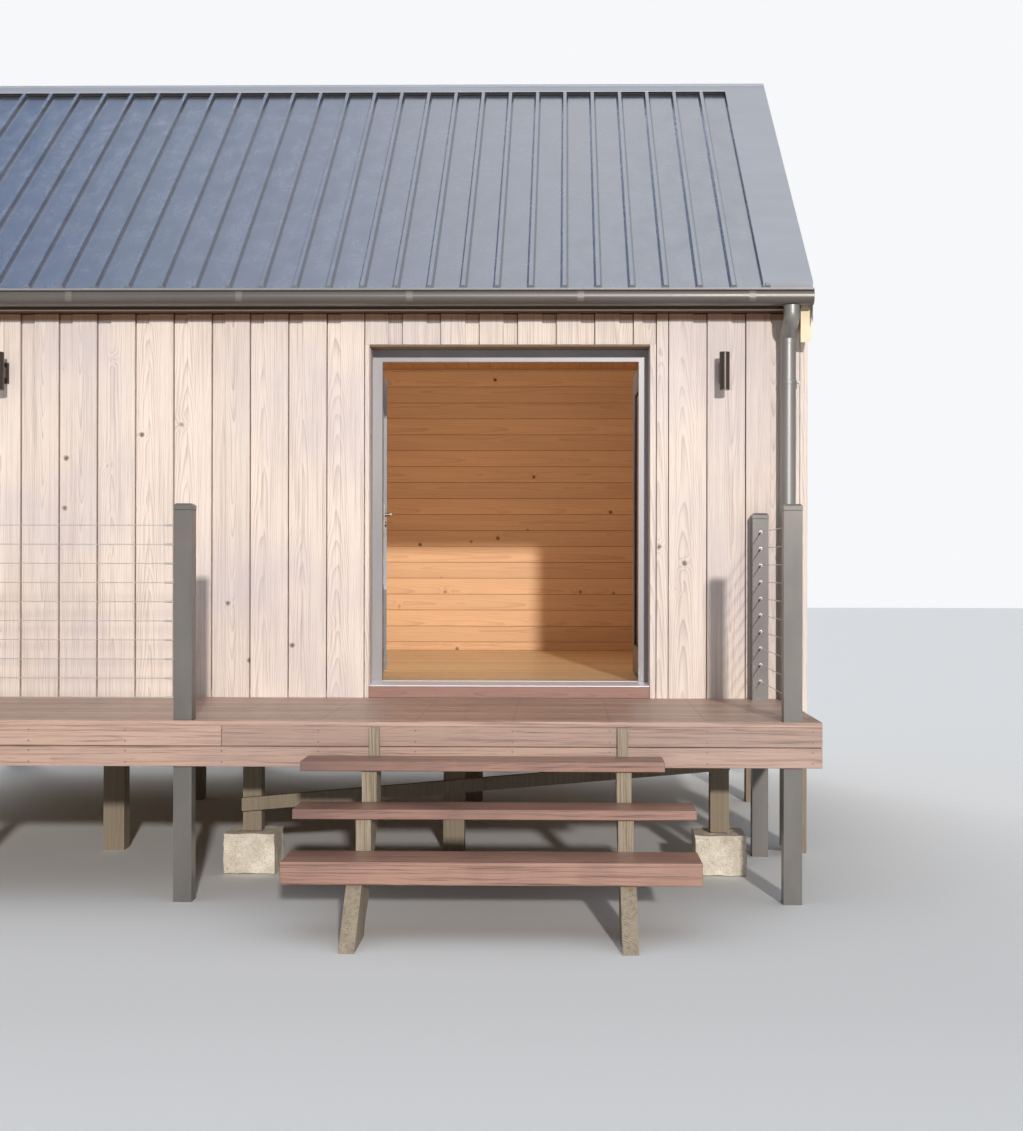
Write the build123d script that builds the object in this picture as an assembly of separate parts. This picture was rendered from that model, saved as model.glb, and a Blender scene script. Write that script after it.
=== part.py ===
from build123d import *
from math import cos, radians, sin, tan
import os

# Modular timber cabin on piles with a front deck, wire balustrade, steps and a glazed double door.
# Millimetres, +Z up, X to the right of someone who faces the front, front towards -Y.

os.makedirs("parts", exist_ok=True)

# Cabin body
cabin_length = 6034
cabin_depth = 4300
wall_thick = 255
cladding_thick = 20
floor_top = 965
floor_board_thick = 35
floor_joist_depth = 140
floor_joist_width = 45
floor_joist_count = 15
bearer_depth = 140
bearer_width = 90
skirt_bottom = 760
ceiling_rise = 62
ceiling_thick = 12

# Roof
roof_pitch = 37.5
eave_overhang = 190
eave_underside = 3211
sheet_thick = 4
rib_height = 29
rib_base = 46
rib_crest = 22
rib_pitch = 190.5
verge_least = 200
sarking_thick = 15
rafter_depth = 120
rafter_width = 45
rafter_spacing = 568
rafter_wall_gap = 10
ceiling_joist_depth = 90
ceiling_joist_end_gap = 60
barge_depth = 262
barge_thick = 60
flashing_thick = 3
flashing_leg = 150
ridge_wing = 105
ridge_roll = 14
ridge_gap = 18
fascia_thick = 25
fascia_gap = 50
fascia_drop = 112
fascia_rise = 15
soffit_thick = 12
gutter_width = 125
gutter_drop = 2
gutter_height = 91
gutter_back_drop = 14
gutter_round = 44
gutter_bead = 7
gutter_metal = 3

# Downpipe
pipe_radius = 45
pipe_inset = 120
pipe_wall_gap = 12
pipe_bottom = 60
pipe_outlet = 70
pipe_offset_fall = 0.5
pipe_bend_radius = 42

# Doorway and doors
door_inset = 1713
door_width = 1614
door_head_drop = 173
threshold_rise = 65
threshold_nose = 20
head_lining_thick = 12
sill_edge = 5
sill_height = 18
jamb_face = 56
head_face = 67
frame_pocket = 42
frame_lip = 46
frame_rebate = 78
head_rebate = 15
leaf_thick = 44
leaf_gap = 5
leaf_meeting_gap = 10
leaf_sill_gap = 8
stile_width = 118
bottom_rail = 160
glass_thick = 24
pin_edge = 2.5
pin_inset = 12
knuckle_radius = 5
knuckle_length = 34
knuckle_gap = 0.4
hinge_inset = 200
hinge_metal = 2
leaf_flap_width = 26
frame_flap_width = 16
meeting_strip_width = 30
meeting_strip_thick = 17
left_open = 95
right_open = 89
handle_height = 1013
handle_backset = 55
handle_plate_width = 36
handle_plate_thick = 5
handle_plate_above = 70
handle_plate_below = 115
lever_radius = 8
lever_length = 122
lever_stand_off = 45
lever_neck_radius = 9
thumb_turn_radius = 11
thumb_turn_drop = 60
thumb_turn_length = 12

# Wall lamps: one beside the door, one further along
lamp_inset = 487
lamp_spacing = 4146
lamp_drop = 339
lamp_radius = 29
lamp_length = 216
lamp_stand_off = 81
lamp_rim = 3
lamp_plate_width = 44
lamp_plate_length = 120
lamp_plate_thick = 8

# Deck
deck_top = 890
deck_inset = 142
deck_reach = 1477
deck_board_thick = 24
deck_fascia_thick = 24
deck_fascia_height = 98
deck_fascia_joint = 3
deck_joist_depth = 100
deck_joist_width = 45
deck_joist_spacing = 473
joint_joist_inset = 3065
deck_bearer_width = 90
deck_wall_gap = 2
fit = 2

# Balustrade
post_size = 90
post_top = 1922
cap_height = 30
cap_size = 92
cap_chamfer = 10
post_inset = 139
gate_offset = 1548
rear_post_gap = 20
wire_radius = 2
wire_count = 10
wire_lowest = 998
wire_highest = 1845
fitting_radius = 5
fitting_length = 55

# Stumps and pads
pile_size = 120
pile_column_count = 4
stump_size = 100
pad_size = 280
pad_height = 220
middle_bearer_y = -2727
stump_inset = 560
middle_stump_offset = 1361
brace_low = 330
brace_high = 560
brace_depth = 70
brace_thick = 40

# Steps
stair_inset = 1714
tread_length = 1852
top_tread_length = 1720
tread_depths = (231, 255, 300)
tread_fronts = (254, 484, 814)
tread_tops = (725, 531, 348)
tread_thicks = (48, 46, 100)
stringer_offset = 603
stringer_thick = 72
stringer_foot = 1046
stringer_heel = 703
stringer_back = 543
cleat_width = 52
cleat_thick = 23
tread_lip = 28

# Derived places
half_length = cabin_length / 2
half_depth = cabin_depth / 2
inner_x = half_length - wall_thick
inner_y = half_depth - wall_thick
frame_top = floor_top - floor_board_thick
bearer_top = frame_top - floor_joist_depth
slope = tan(radians(roof_pitch))
rise = cos(radians(roof_pitch))
eave_y = half_depth + eave_overhang
deck_front = -(half_depth + deck_reach)
deck_half = half_length - deck_inset
deck_joist_top = deck_top - deck_board_thick
fascia_face = eave_y - fascia_gap
fascia_bottom = eave_underside - fascia_drop
fascia_top = eave_underside + fascia_rise
gutter_top = eave_underside - gutter_drop
ceiling_bottom = eave_underside + ceiling_rise
door_head = fascia_bottom - door_head_drop
frame_head = door_head - head_lining_thick
threshold_top = deck_top + threshold_rise
sill_top = threshold_top + sill_height
frame_back = -inner_y
frame_front = frame_back - frame_lip - leaf_gap - leaf_thick
gutter_reach = fascia_face + gutter_width
front_post_y = deck_front + deck_fascia_thick + post_size / 2
rear_post_y = -(half_depth + rear_post_gap + post_size / 2)
origin_y = (deck_front - stringer_foot + gutter_reach) / 2
rib_gaps = int((cabin_length - 2 * verge_least) / rib_pitch)
outer_rib_x = rib_gaps * rib_pitch / 2
pipe_x = half_length - pipe_inset
lamp_xs = (half_length - lamp_inset - lamp_spacing, half_length - lamp_inset)
lamp_height = fascia_bottom - lamp_drop
stair_centre = half_length - stair_inset
post_x = deck_half - post_inset
gate_post_x = stair_centre - gate_offset
middle_post_x = (gate_post_x - post_x) / 2
stump_xs = (stump_inset - half_length, stair_centre - middle_stump_offset, half_length - stump_inset)
door_centre = half_length - door_inset
door_left = door_centre - door_width / 2
door_right = door_centre + door_width / 2


def block(x0, x1, y0, y1, z0, z1):
    return Pos((x0 + x1) / 2, (y0 + y1) / 2, (z0 + z1) / 2) * Box(abs(x1 - x0), abs(y1 - y0), abs(z1 - z0))


def side_profile(points, x0, x1):
    """An outline of (y, z) points carried along X."""
    face = make_face(Polyline(*points, close=True))
    along_x = Plane(origin=(x0, 0, 0), x_dir=(0, 1, 0), z_dir=(1, 0, 0))
    return extrude(along_x * face, x1 - x0)


def roof_z(y, level):
    """Height of the plane that lies level above the sheet's underside, measured square to the slope."""
    return eave_underside + (eave_y - abs(y)) * slope + level / rise


def slope_band(y0, y1, low, high, x0, x1):
    """A band of the front slope between two y values and two levels, with upright ends."""
    points = [(y0, roof_z(y0, low)), (y1, roof_z(y1, low)), (y1, roof_z(y1, high)), (y0, roof_z(y0, high))]
    return side_profile(points, x0, x1)


def to_back(shape):
    return mirror(shape, Plane.XZ)


def to_left(shape):
    return mirror(shape, Plane.YZ)


def save(name, *pieces):
    solids = [solid for piece in pieces for solid in piece.solids()]
    placed = Pos(0, -origin_y, 0) * Compound(solids)
    export_step(placed, f"parts/{name}.step")


# Barge boards fill this space at the verges, so the walls are cut back round it
def barge_board():
    front = slope_band(-fascia_face, 0, -barge_depth, 0, half_length - barge_thick, half_length)
    return front + to_back(front)


# Walls
def long_wall(x0, x1, bottom=skirt_bottom):
    outer = -half_depth
    under_rafters = -(sarking_thick + rafter_depth)
    points = [
        (outer, bottom),
        (outer + cladding_thick, bottom),
        (outer + cladding_thick, frame_top),
        (-inner_y, frame_top),
        (-inner_y, roof_z(-inner_y, under_rafters)),
        (outer, roof_z(outer, under_rafters)),
    ]
    return side_profile(points, x0, x1)


def gable_wall():
    lining_x = half_length - barge_thick
    lower = [
        (-inner_y, skirt_bottom),
        (inner_y, skirt_bottom),
        (inner_y, roof_z(inner_y, -barge_depth)),
        (0, roof_z(0, -barge_depth)),
        (-inner_y, roof_z(-inner_y, -barge_depth)),
    ]
    upper = [
        (-inner_y, frame_top),
        (inner_y, frame_top),
        (inner_y, roof_z(inner_y, -sarking_thick)),
        (0, roof_z(0, -sarking_thick)),
        (-inner_y, roof_z(-inner_y, -sarking_thick)),
    ]
    outer_leaf = side_profile(lower, lining_x, half_length)
    inner_leaf = side_profile(upper, inner_x, lining_x)
    over_floor = block(inner_x, half_length - cladding_thick, -inner_y, inner_y, skirt_bottom, frame_top)
    return outer_leaf + inner_leaf - over_floor


barge_right = barge_board()
barge_left = to_left(barge_right)

# The door frame's jambs reach into pockets behind the edges of the doorway
plain_wall = long_wall(-half_length, half_length) - barge_right - barge_left
pocket_left = door_left - frame_pocket
pocket_right = door_right + frame_pocket
pockets = block(pocket_left, pocket_right, frame_front, -inner_y + 1, threshold_top, frame_head)
front_wall = plain_wall - pockets
over_door = block(door_left, door_right, -half_depth, -inner_y, door_head, eave_underside * 2)
left_part = block(-half_length, door_left, -half_depth, -inner_y, skirt_bottom, eave_underside * 2)
right_part = block(door_right, half_length, -half_depth, -inner_y, skirt_bottom, eave_underside * 2)
save("front_wall_header", front_wall & over_door)
save("front_wall_left", front_wall & left_part)
save("front_wall_right", front_wall & right_part)
save("back_wall", to_back(plain_wall))
save("gable_wall_right", gable_wall())
save("gable_wall_left", to_left(gable_wall()))


# Floor, bearers and piles of the cabin
floor_edge_x = half_length - cladding_thick
floor_edge_y = half_depth - cladding_thick
bearer_rows = (-floor_edge_y + pile_size / 2, 0, floor_edge_y - pile_size / 2)
pile_spacing = (cabin_length - pile_size) / (pile_column_count - 1)
pile_columns = [-half_length + pile_size / 2 + i * pile_spacing for i in range(pile_column_count)]


def floor_joists():
    half = floor_joist_width / 2
    first = floor_edge_x - half
    spacing = 2 * first / (floor_joist_count - 1)
    reach = floor_edge_y - floor_joist_width
    return [
        block(x - half, x + half, -reach, reach, bearer_top, frame_top)
        for x in [-first + i * spacing for i in range(floor_joist_count)]
    ]


def floor_bearers():
    """The outer two bearers each carry the rim that closes the joists' ends."""
    half = bearer_width / 2
    bearers = [
        block(-floor_edge_x, floor_edge_x, y - half, y + half, bearer_top - bearer_depth, bearer_top)
        for y in bearer_rows
    ]
    rim = block(
        -floor_edge_x, floor_edge_x, -floor_edge_y, -floor_edge_y + floor_joist_width, bearer_top, frame_top
    )
    return [bearers[0] + rim, bearers[1], bearers[2] + to_back(rim)]


def cabin_piles():
    half = pile_size / 2
    return [
        block(x - half, x + half, y - half, y + half, 0, bearer_top - bearer_depth)
        for x in pile_columns
        for y in bearer_rows
    ]


save("floor_boards", block(-inner_x, inner_x, -inner_y, inner_y, frame_top, floor_top))
save("floor_joists", *floor_joists())
save("floor_bearers", *floor_bearers())
save("cabin_piles", *cabin_piles())
ceiling_top = ceiling_bottom + ceiling_thick
save("ceiling", block(-inner_x, inner_x, -inner_y, inner_y, ceiling_bottom, ceiling_top))


# Roof frame, hidden in the closed loft
tail_y = -fascia_face + fascia_thick
soffit_bottom = fascia_bottom + soffit_thick / 2
soffit_top = soffit_bottom + soffit_thick


def rafter_pair(x):
    top = -sarking_thick
    front = slope_band(tail_y, 0, top - rafter_depth, top, x - rafter_width / 2, x + rafter_width / 2)
    front = front - block(x - rafter_width, x + rafter_width, tail_y - 1, -half_depth, 0, soffit_top)
    tie_reach = inner_y - ceiling_joist_end_gap
    tie_x = x - 3 * rafter_width / 2 if x > 0 else x + rafter_width / 2
    tie = block(
        tie_x, tie_x + rafter_width, -tie_reach, tie_reach, ceiling_top, ceiling_top + ceiling_joist_depth
    )
    return front + to_back(front) + tie


def roof_frame():
    edge = half_length - barge_thick
    sarking = slope_band(tail_y, 0, -sarking_thick, 0, -edge, edge)
    frame = sarking + to_back(sarking)
    reach = inner_x - rafter_wall_gap - rafter_width / 2
    count = int(reach / rafter_spacing)
    for i in range(-count, count + 1):
        frame = frame + rafter_pair(i * rafter_spacing)
    return frame


save("roof_frame", roof_frame())
save("barge_boards", barge_right, barge_left)


# Ribbed roof sheets: flat pans with a rib every rib_pitch
def ribbed_sheet():
    outline = [(-half_length, 0), (-half_length, sheet_thick)]
    for x in [-outer_rib_x + i * rib_pitch for i in range(rib_gaps + 1)]:
        outline.append((x - rib_base / 2, sheet_thick))
        outline.append((x - rib_crest / 2, rib_height))
        outline.append((x + rib_crest / 2, rib_height))
        outline.append((x + rib_base / 2, sheet_thick))
    outline.append((half_length, sheet_thick))
    outline.append((half_length, 0))
    face = make_face(Polyline(*outline, close=True))
    up_slope = Plane(
        origin=(0, -eave_y, eave_underside),
        x_dir=(1, 0, 0),
        z_dir=(0, -cos(radians(roof_pitch)), -sin(radians(roof_pitch))),
    )
    length = eave_y / cos(radians(roof_pitch))
    sheet = extrude(up_slope * face, -length)
    return sheet - block(-half_length - 1, half_length + 1, -ridge_gap, eave_y, 0, eave_underside * 2)


save("roof_sheet_front", ribbed_sheet())
save("roof_sheet_back", to_back(ribbed_sheet()))


# Ridge cap: two wings on the rib crests, joined by a roll
def ridge_cap():
    wing_y = ridge_wing * cos(radians(roof_pitch))
    low = rib_height
    high = rib_height + flashing_thick
    points = [
        (-wing_y, roof_z(-wing_y, low)),
        (0, roof_z(0, low)),
        (wing_y, roof_z(wing_y, low)),
        (wing_y, roof_z(wing_y, high)),
        (0, roof_z(0, high)),
        (-wing_y, roof_z(-wing_y, high)),
    ]
    edge = half_length + flashing_thick
    cap = side_profile(points, -edge, edge)
    roll = Pos(0, 0, roof_z(0, low)) * Rot(0, 90, 0) * Cylinder(ridge_roll, cabin_length)
    return cap + roll


# Verge flashing: a flat on the last rib, and a leg down the barge board
def verge_flashing():
    inner = outer_rib_x - rib_base / 2
    edge = half_length + flashing_thick
    wing_y = ridge_wing * cos(radians(roof_pitch))
    low = rib_height
    high = rib_height + flashing_thick
    flat = slope_band(-eave_y, -wing_y, low, high, inner, edge)
    leg = slope_band(-eave_y, 0, -flashing_leg, low, half_length, edge)
    front = flat + leg
    return front + to_back(front)


save("ridge_cap", ridge_cap())
save("verge_flashings", verge_flashing(), to_left(verge_flashing()))


# Eaves
def eave_box():
    edge = half_length - barge_thick
    fascia = block(-edge, edge, -fascia_face, tail_y, fascia_bottom, fascia_top)
    soffit = block(-edge, edge, tail_y, -half_depth, soffit_bottom, soffit_top)
    return fascia + soffit


def gutter_outline(inset):
    """The gutter's section as (y, z): upright back, rounded base and front."""
    low = gutter_top - gutter_height + inset
    width = gutter_width - 2 * inset
    height = gutter_height * 2
    box = Pos(-fascia_face - gutter_width / 2, low + height / 2) * Rectangle(width, height)
    lower = box.vertices().sort_by(Axis.Y)[:2]
    return fillet(lower, gutter_round - inset)


def gutter():
    edge = half_length
    along_x = Plane(origin=(-edge, 0, 0), x_dir=(0, 1, 0), z_dir=(1, 0, 0))
    outer = extrude(along_x * gutter_outline(0), 2 * edge)
    inner_start = Plane(origin=(-edge + gutter_metal, 0, 0), x_dir=(0, 1, 0), z_dir=(1, 0, 0))
    inner = extrude(inner_start * gutter_outline(gutter_metal), 2 * (edge - gutter_metal))
    front_y = -gutter_reach
    above = block(-edge - 1, edge + 1, front_y - 1, -fascia_face + 1, gutter_top, gutter_top * 2)
    back_y = -fascia_face
    back_cut = block(
        -edge - 1, edge + 1, back_y - gutter_metal, back_y + 1, gutter_top - gutter_back_drop, gutter_top * 2
    )
    bead = Pos(0, front_y + gutter_bead, gutter_top - gutter_bead) * Rot(0, 90, 0) * Cylinder(gutter_bead, 2 * edge)
    return outer - inner - above - back_cut + bead


save("eave_boxes", eave_box(), to_back(eave_box()))
save("gutters", gutter(), to_back(gutter()))


# Downpipe: outlet under the gutter, an offset back to the wall, then straight down
def downpipe():
    outlet_y = -(fascia_face + gutter_width / 2)
    wall_y = -(half_depth + pipe_wall_gap + pipe_radius)
    top = gutter_top - gutter_height
    offset = abs(wall_y - outlet_y)
    points = [
        (pipe_x, outlet_y, top),
        (pipe_x, outlet_y, top - pipe_outlet),
        (pipe_x, wall_y, top - pipe_outlet - offset * pipe_offset_fall),
        (pipe_x, wall_y, pipe_bottom),
    ]
    path = FilletPolyline(*points, radius=pipe_bend_radius)
    ring = Plane(origin=points[0], z_dir=(0, 0, -1)) * Circle(pipe_radius)
    return sweep(ring, path)


save("downpipes", downpipe(), to_back(to_left(downpipe())))


# Wall lamps: an upright tube on a small plate
def wall_lamp(lamp_x):
    tube_y = -(half_depth + lamp_stand_off + lamp_radius)
    tube = Pos(lamp_x, tube_y, lamp_height) * Cylinder(lamp_radius, lamp_length)
    lens = Pos(lamp_x, tube_y, lamp_height) * Cylinder(lamp_radius - lamp_rim, lamp_length - 2 * lamp_rim)
    open_ends = Pos(lamp_x, tube_y, lamp_height) * Cylinder(lamp_radius - lamp_rim, lamp_length) - lens
    plate_front = -half_depth - lamp_plate_thick
    half = lamp_plate_width / 2
    high = lamp_plate_length / 2
    plate = block(
        lamp_x - half, lamp_x + half, plate_front, -half_depth, lamp_height - high, lamp_height + high
    )
    arm = block(
        lamp_x - half / 2, lamp_x + half / 2, tube_y, plate_front, lamp_height - high / 2, lamp_height + high / 2
    )
    return tube - open_ends + plate + arm


save("wall_lamps", *[wall_lamp(x) for x in lamp_xs])


# Doorway: threshold, head lining and a frame set back at the wall's inner side
def threshold():
    nose = block(
        door_left, door_right, -half_depth - threshold_nose, -half_depth + cladding_thick, deck_top, threshold_top
    )
    bed = block(door_left, door_right, -half_depth + cladding_thick, frame_back, frame_top, threshold_top)
    return nose + bed


def door_frame():
    """A frame with a front lip that the leaves close against, and a sill that falls to the wall's face."""
    outer = block(pocket_left, pocket_right, frame_front, frame_back, threshold_top, frame_head)
    see_through = block(
        door_left + jamb_face,
        door_right - jamb_face,
        frame_front - 1,
        frame_back + 1,
        sill_top,
        frame_head - head_face,
    )
    behind_lip = block(
        door_left + jamb_face - frame_rebate,
        door_right - jamb_face + frame_rebate,
        frame_front + frame_lip,
        frame_back + 1,
        sill_top,
        frame_head - head_face + head_rebate,
    )
    points = [
        (-half_depth, threshold_top),
        (-half_depth, threshold_top + sill_edge),
        (frame_front, sill_top),
        (frame_front, threshold_top),
    ]
    return outer - see_through - behind_lip + side_profile(points, door_left, door_right)


save("door_threshold", threshold())
save("door_head_trim", block(door_left, door_right, -half_depth, frame_back, frame_head, door_head))
save("door_frame", door_frame())

# Door leaves, drawn closed and then swung open about their pins
leaf_left_x = door_left + jamb_face - frame_rebate + leaf_gap
leaf_right_x = door_right - jamb_face + frame_rebate - leaf_gap
leaf_width = (leaf_right_x - leaf_left_x - leaf_meeting_gap) / 2
leaf_bottom = sill_top + leaf_sill_gap
leaf_top = frame_head - head_face + head_rebate - leaf_gap
leaf_outer_y = frame_front + frame_lip + leaf_gap
leaf_inner_y = leaf_outer_y + leaf_thick
pin_y = frame_back + pin_inset
left_pin_x = leaf_left_x - pin_edge
right_pin_x = leaf_right_x + pin_edge
glass_low = leaf_bottom + bottom_rail
glass_high = leaf_top - stile_width
glass_left_x = leaf_left_x + stile_width
glass_right_x = leaf_left_x + leaf_width - stile_width
glass_y = (leaf_outer_y + leaf_inner_y) / 2


def leaf():
    slab = block(leaf_left_x, leaf_left_x + leaf_width, leaf_outer_y, leaf_inner_y, leaf_bottom, leaf_top)
    light = block(glass_left_x, glass_right_x, leaf_outer_y - 1, leaf_inner_y + 1, glass_low, glass_high)
    return slab - light


def meeting_strip():
    """A raised strip down the free edge of the left leaf's outer face, short of the frame's head."""
    x = leaf_left_x + leaf_width
    top = frame_head - head_face - leaf_gap
    front = leaf_outer_y - meeting_strip_thick
    return block(x - meeting_strip_width, x, front, leaf_outer_y, leaf_bottom, top)


def glass():
    half = glass_thick / 2
    return block(glass_left_x, glass_right_x, glass_y - half, glass_y + half, glass_low, glass_high)


hinge_heights = (leaf_bottom + hinge_inset, (leaf_bottom + leaf_top) / 2, leaf_top - hinge_inset)


def leaf_knuckles():
    """The middle knuckle of each hinge, with its flap on the leaf's inner face."""
    pieces = []
    for z in hinge_heights:
        low = z - knuckle_length / 2
        high = z + knuckle_length / 2
        flap_top = leaf_inner_y + hinge_metal
        knuckle = Pos(left_pin_x, pin_y, z) * Cylinder(knuckle_radius, knuckle_length)
        web = block(left_pin_x, left_pin_x + knuckle_radius, leaf_inner_y, pin_y, low, high)
        flap = block(leaf_left_x, leaf_left_x + leaf_flap_width, leaf_inner_y, flap_top, low, high)
        pieces.append(knuckle + web + flap)
    return pieces


def frame_knuckles():
    """Upper and lower knuckles of each hinge, with their flaps on the frame's inner face."""
    pieces = []
    step = knuckle_length + knuckle_gap
    for z in hinge_heights:
        for middle in (z - step, z + step):
            low = middle - knuckle_length / 2
            high = middle + knuckle_length / 2
            knuckle = Pos(left_pin_x, pin_y, middle) * Cylinder(knuckle_radius, knuckle_length)
            web = block(left_pin_x - knuckle_radius, left_pin_x, frame_back, pin_y, low, high)
            flap = block(
                left_pin_x - frame_flap_width, left_pin_x, frame_back, frame_back + hinge_metal, low, high
            )
            pieces.append(knuckle + web + flap)
    return pieces


def over_to_right(shape):
    """The left jamb's shape, turned over to the right jamb."""
    return Pos(2 * door_centre, 0, 0) * to_left(shape)


def handle():
    """Backplate and lever on each face of the free stile."""
    x = leaf_left_x + leaf_width - handle_backset
    half = handle_plate_width / 2
    lever_z = floor_top + handle_height
    low = lever_z - handle_plate_below
    high = lever_z + handle_plate_above
    grip_x = x - lever_length / 2 + lever_neck_radius
    pieces = []
    for face_y, out in ((leaf_outer_y, -1), (leaf_inner_y, 1)):
        plate_y = face_y + out * handle_plate_thick
        turn_y = plate_y + out * thumb_turn_length / 2
        plate = block(x - half, x + half, face_y, plate_y, low, high)
        neck_y = plate_y + out * (lever_stand_off - handle_plate_thick) / 2
        neck_length = lever_stand_off - handle_plate_thick
        neck = Pos(x, neck_y, lever_z) * Rot(90, 0, 0) * Cylinder(lever_neck_radius, neck_length)
        grip_y = face_y + out * lever_stand_off
        grip = Pos(grip_x, grip_y, lever_z) * Rot(0, 90, 0) * Cylinder(lever_radius, lever_length)
        turn = Pos(x, turn_y, lever_z - thumb_turn_drop) * Rot(90, 0, 0) * Cylinder(thumb_turn_radius, thumb_turn_length)
        pieces.append(plate + neck + grip + turn)
    return pieces


def swing_left(shape):
    pin = Pos(left_pin_x, pin_y, 0)
    return pin * Rot(0, 0, left_open) * Pos(-left_pin_x, -pin_y, 0) * shape


def swing_right(shape):
    """The left leaf's shape, turned over to the right jamb and swung open."""
    pin = Pos(right_pin_x, pin_y, 0)
    return pin * Rot(0, 0, -right_open) * Pos(-right_pin_x, -pin_y, 0) * over_to_right(shape)


save("door_hinges", *frame_knuckles(), *[over_to_right(piece) for piece in frame_knuckles()])
save("door_leaf_left", swing_left(leaf() + meeting_strip()))
save("leaf_knuckles_left", *[swing_left(piece) for piece in leaf_knuckles()])
save("door_glass_left", swing_left(glass()))
save("door_handle_left", *[swing_left(piece) for piece in handle()])
save("door_leaf_right", swing_right(leaf()))
save("leaf_knuckles_right", *[swing_right(piece) for piece in leaf_knuckles()])
save("door_glass_right", swing_right(glass()))

# Deck
deck_back = -half_depth - deck_wall_gap
post_places = [
    (post_x, front_post_y),
    (gate_post_x, front_post_y),
    (middle_post_x, front_post_y),
    (-post_x, front_post_y),
    (post_x, rear_post_y),
    (-post_x, rear_post_y),
]
pipe_y = -(half_depth + pipe_wall_gap + pipe_radius)
pipe_clear = pipe_radius + 6


def clear_of_posts(shape):
    """Leaves room for the posts, a fit wider than they are."""
    half = post_size / 2 + fit
    for x, y in post_places:
        shape = shape - block(x - half, x + half, y - half, y + half, 0, post_top)
    return shape


def deck_boards():
    boards = clear_of_posts(block(-deck_half, deck_half, deck_front, deck_back, deck_joist_top, deck_top))
    pipe_space = block(
        pipe_x - pipe_clear, deck_half + 1, pipe_y - pipe_clear, deck_back + 1, deck_joist_top - 1, deck_top + 1
    )
    return boards - pipe_space


def deck_joist_xs():
    """Joists each way from the one behind the butt joint of the front fascia, and one at each end."""
    end = deck_half - deck_fascia_thick - deck_joist_width / 2
    last = end - 2 * deck_joist_width
    joint_x = half_length - joint_joist_inset
    to_right = int((last - joint_x) / deck_joist_spacing)
    to_left_end = int((joint_x + last) / deck_joist_spacing)
    inner = [joint_x + i * deck_joist_spacing for i in range(-to_left_end, to_right + 1)]
    return [-end, *inner, end]


def deck_joists():
    half = deck_joist_width / 2
    start = deck_front + deck_fascia_thick
    low = deck_joist_top - deck_joist_depth
    return [
        clear_of_posts(block(x - half, x + half, start, deck_back, low, deck_joist_top)) for x in deck_joist_xs()
    ]


front_bearer_y = front_post_y + post_size / 2 + deck_bearer_width / 2
rear_bearer_y = rear_post_y - post_size / 2 - deck_bearer_width / 2
deck_bearer_top = deck_joist_top - deck_joist_depth
deck_bearer_bottom = deck_bearer_top - deck_joist_depth


def deck_bearers():
    end = deck_half - deck_fascia_thick
    half = deck_bearer_width / 2
    return [
        block(-end, end, y - half, y + half, deck_bearer_bottom, deck_bearer_top)
        for y in (front_bearer_y, middle_bearer_y, rear_bearer_y)
    ]


def deck_fascia(x0, x1, y0, y1):
    """Two boards, one over the other."""
    top = deck_joist_top
    pieces = []
    for row in range(2):
        high = top - row * (deck_fascia_height + deck_fascia_joint)
        pieces.append(block(x0, x1, y0, y1, high - deck_fascia_height, high))
    return pieces


save("deck_boards", deck_boards())
save("deck_joists", *deck_joists())
save("deck_bearers", *deck_bearers())
fascia_back_y = deck_front + deck_fascia_thick
inner_end = deck_half - deck_fascia_thick
save("deck_fascia_front", *deck_fascia(-deck_half, deck_half, deck_front, fascia_back_y))
save(
    "deck_fascia_sides",
    *deck_fascia(inner_end, deck_half, fascia_back_y, pipe_y - pipe_clear),
    *deck_fascia(-deck_half, -inner_end, fascia_back_y, deck_back),
)


# Deck stumps on concrete pads, and a brace between two of them
def deck_stumps():
    half = stump_size / 2
    return [
        block(x - half, x + half, middle_bearer_y - half, middle_bearer_y + half, pad_height, deck_bearer_bottom)
        for x in stump_xs
    ]


def concrete_pads():
    half = pad_size / 2
    return [
        block(x - half, x + half, middle_bearer_y - half, middle_bearer_y + half, 0, pad_height)
        for x in stump_xs
    ]


def deck_brace():
    face_y = middle_bearer_y - stump_size / 2
    face = make_face(Polyline(
        (stump_xs[1] - stump_size / 2, brace_low),
        (stump_xs[2] + stump_size / 2, brace_high),
        (stump_xs[2] + stump_size / 2, brace_high + brace_depth),
        (stump_xs[1] - stump_size / 2, brace_low + brace_depth),
        close=True,
    ))
    upright = Plane(origin=(0, face_y, 0), x_dir=(1, 0, 0), z_dir=(0, -1, 0))
    return extrude(upright * face, brace_thick)


def braced_stumps():
    joined = deck_brace()
    for stump in deck_stumps()[1:]:
        joined = joined + stump
    return joined


save("deck_stumps", deck_stumps()[0], braced_stumps())
save("concrete_pads", *concrete_pads())


# Balustrade
def post(place):
    x, y = place
    half = post_size / 2
    shaft = block(x - half, x + half, y - half, y + half, 0, post_top)
    cap = Pos(x, y, post_top + cap_height / 2) * Box(cap_size, cap_size, cap_height)
    return shaft + chamfer(cap.faces().sort_by(Axis.Z)[-1].edges(), cap_chamfer)


wire_heights = [
    wire_lowest + i * (wire_highest - wire_lowest) / (wire_count - 1) for i in range(wire_count)
]


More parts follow.
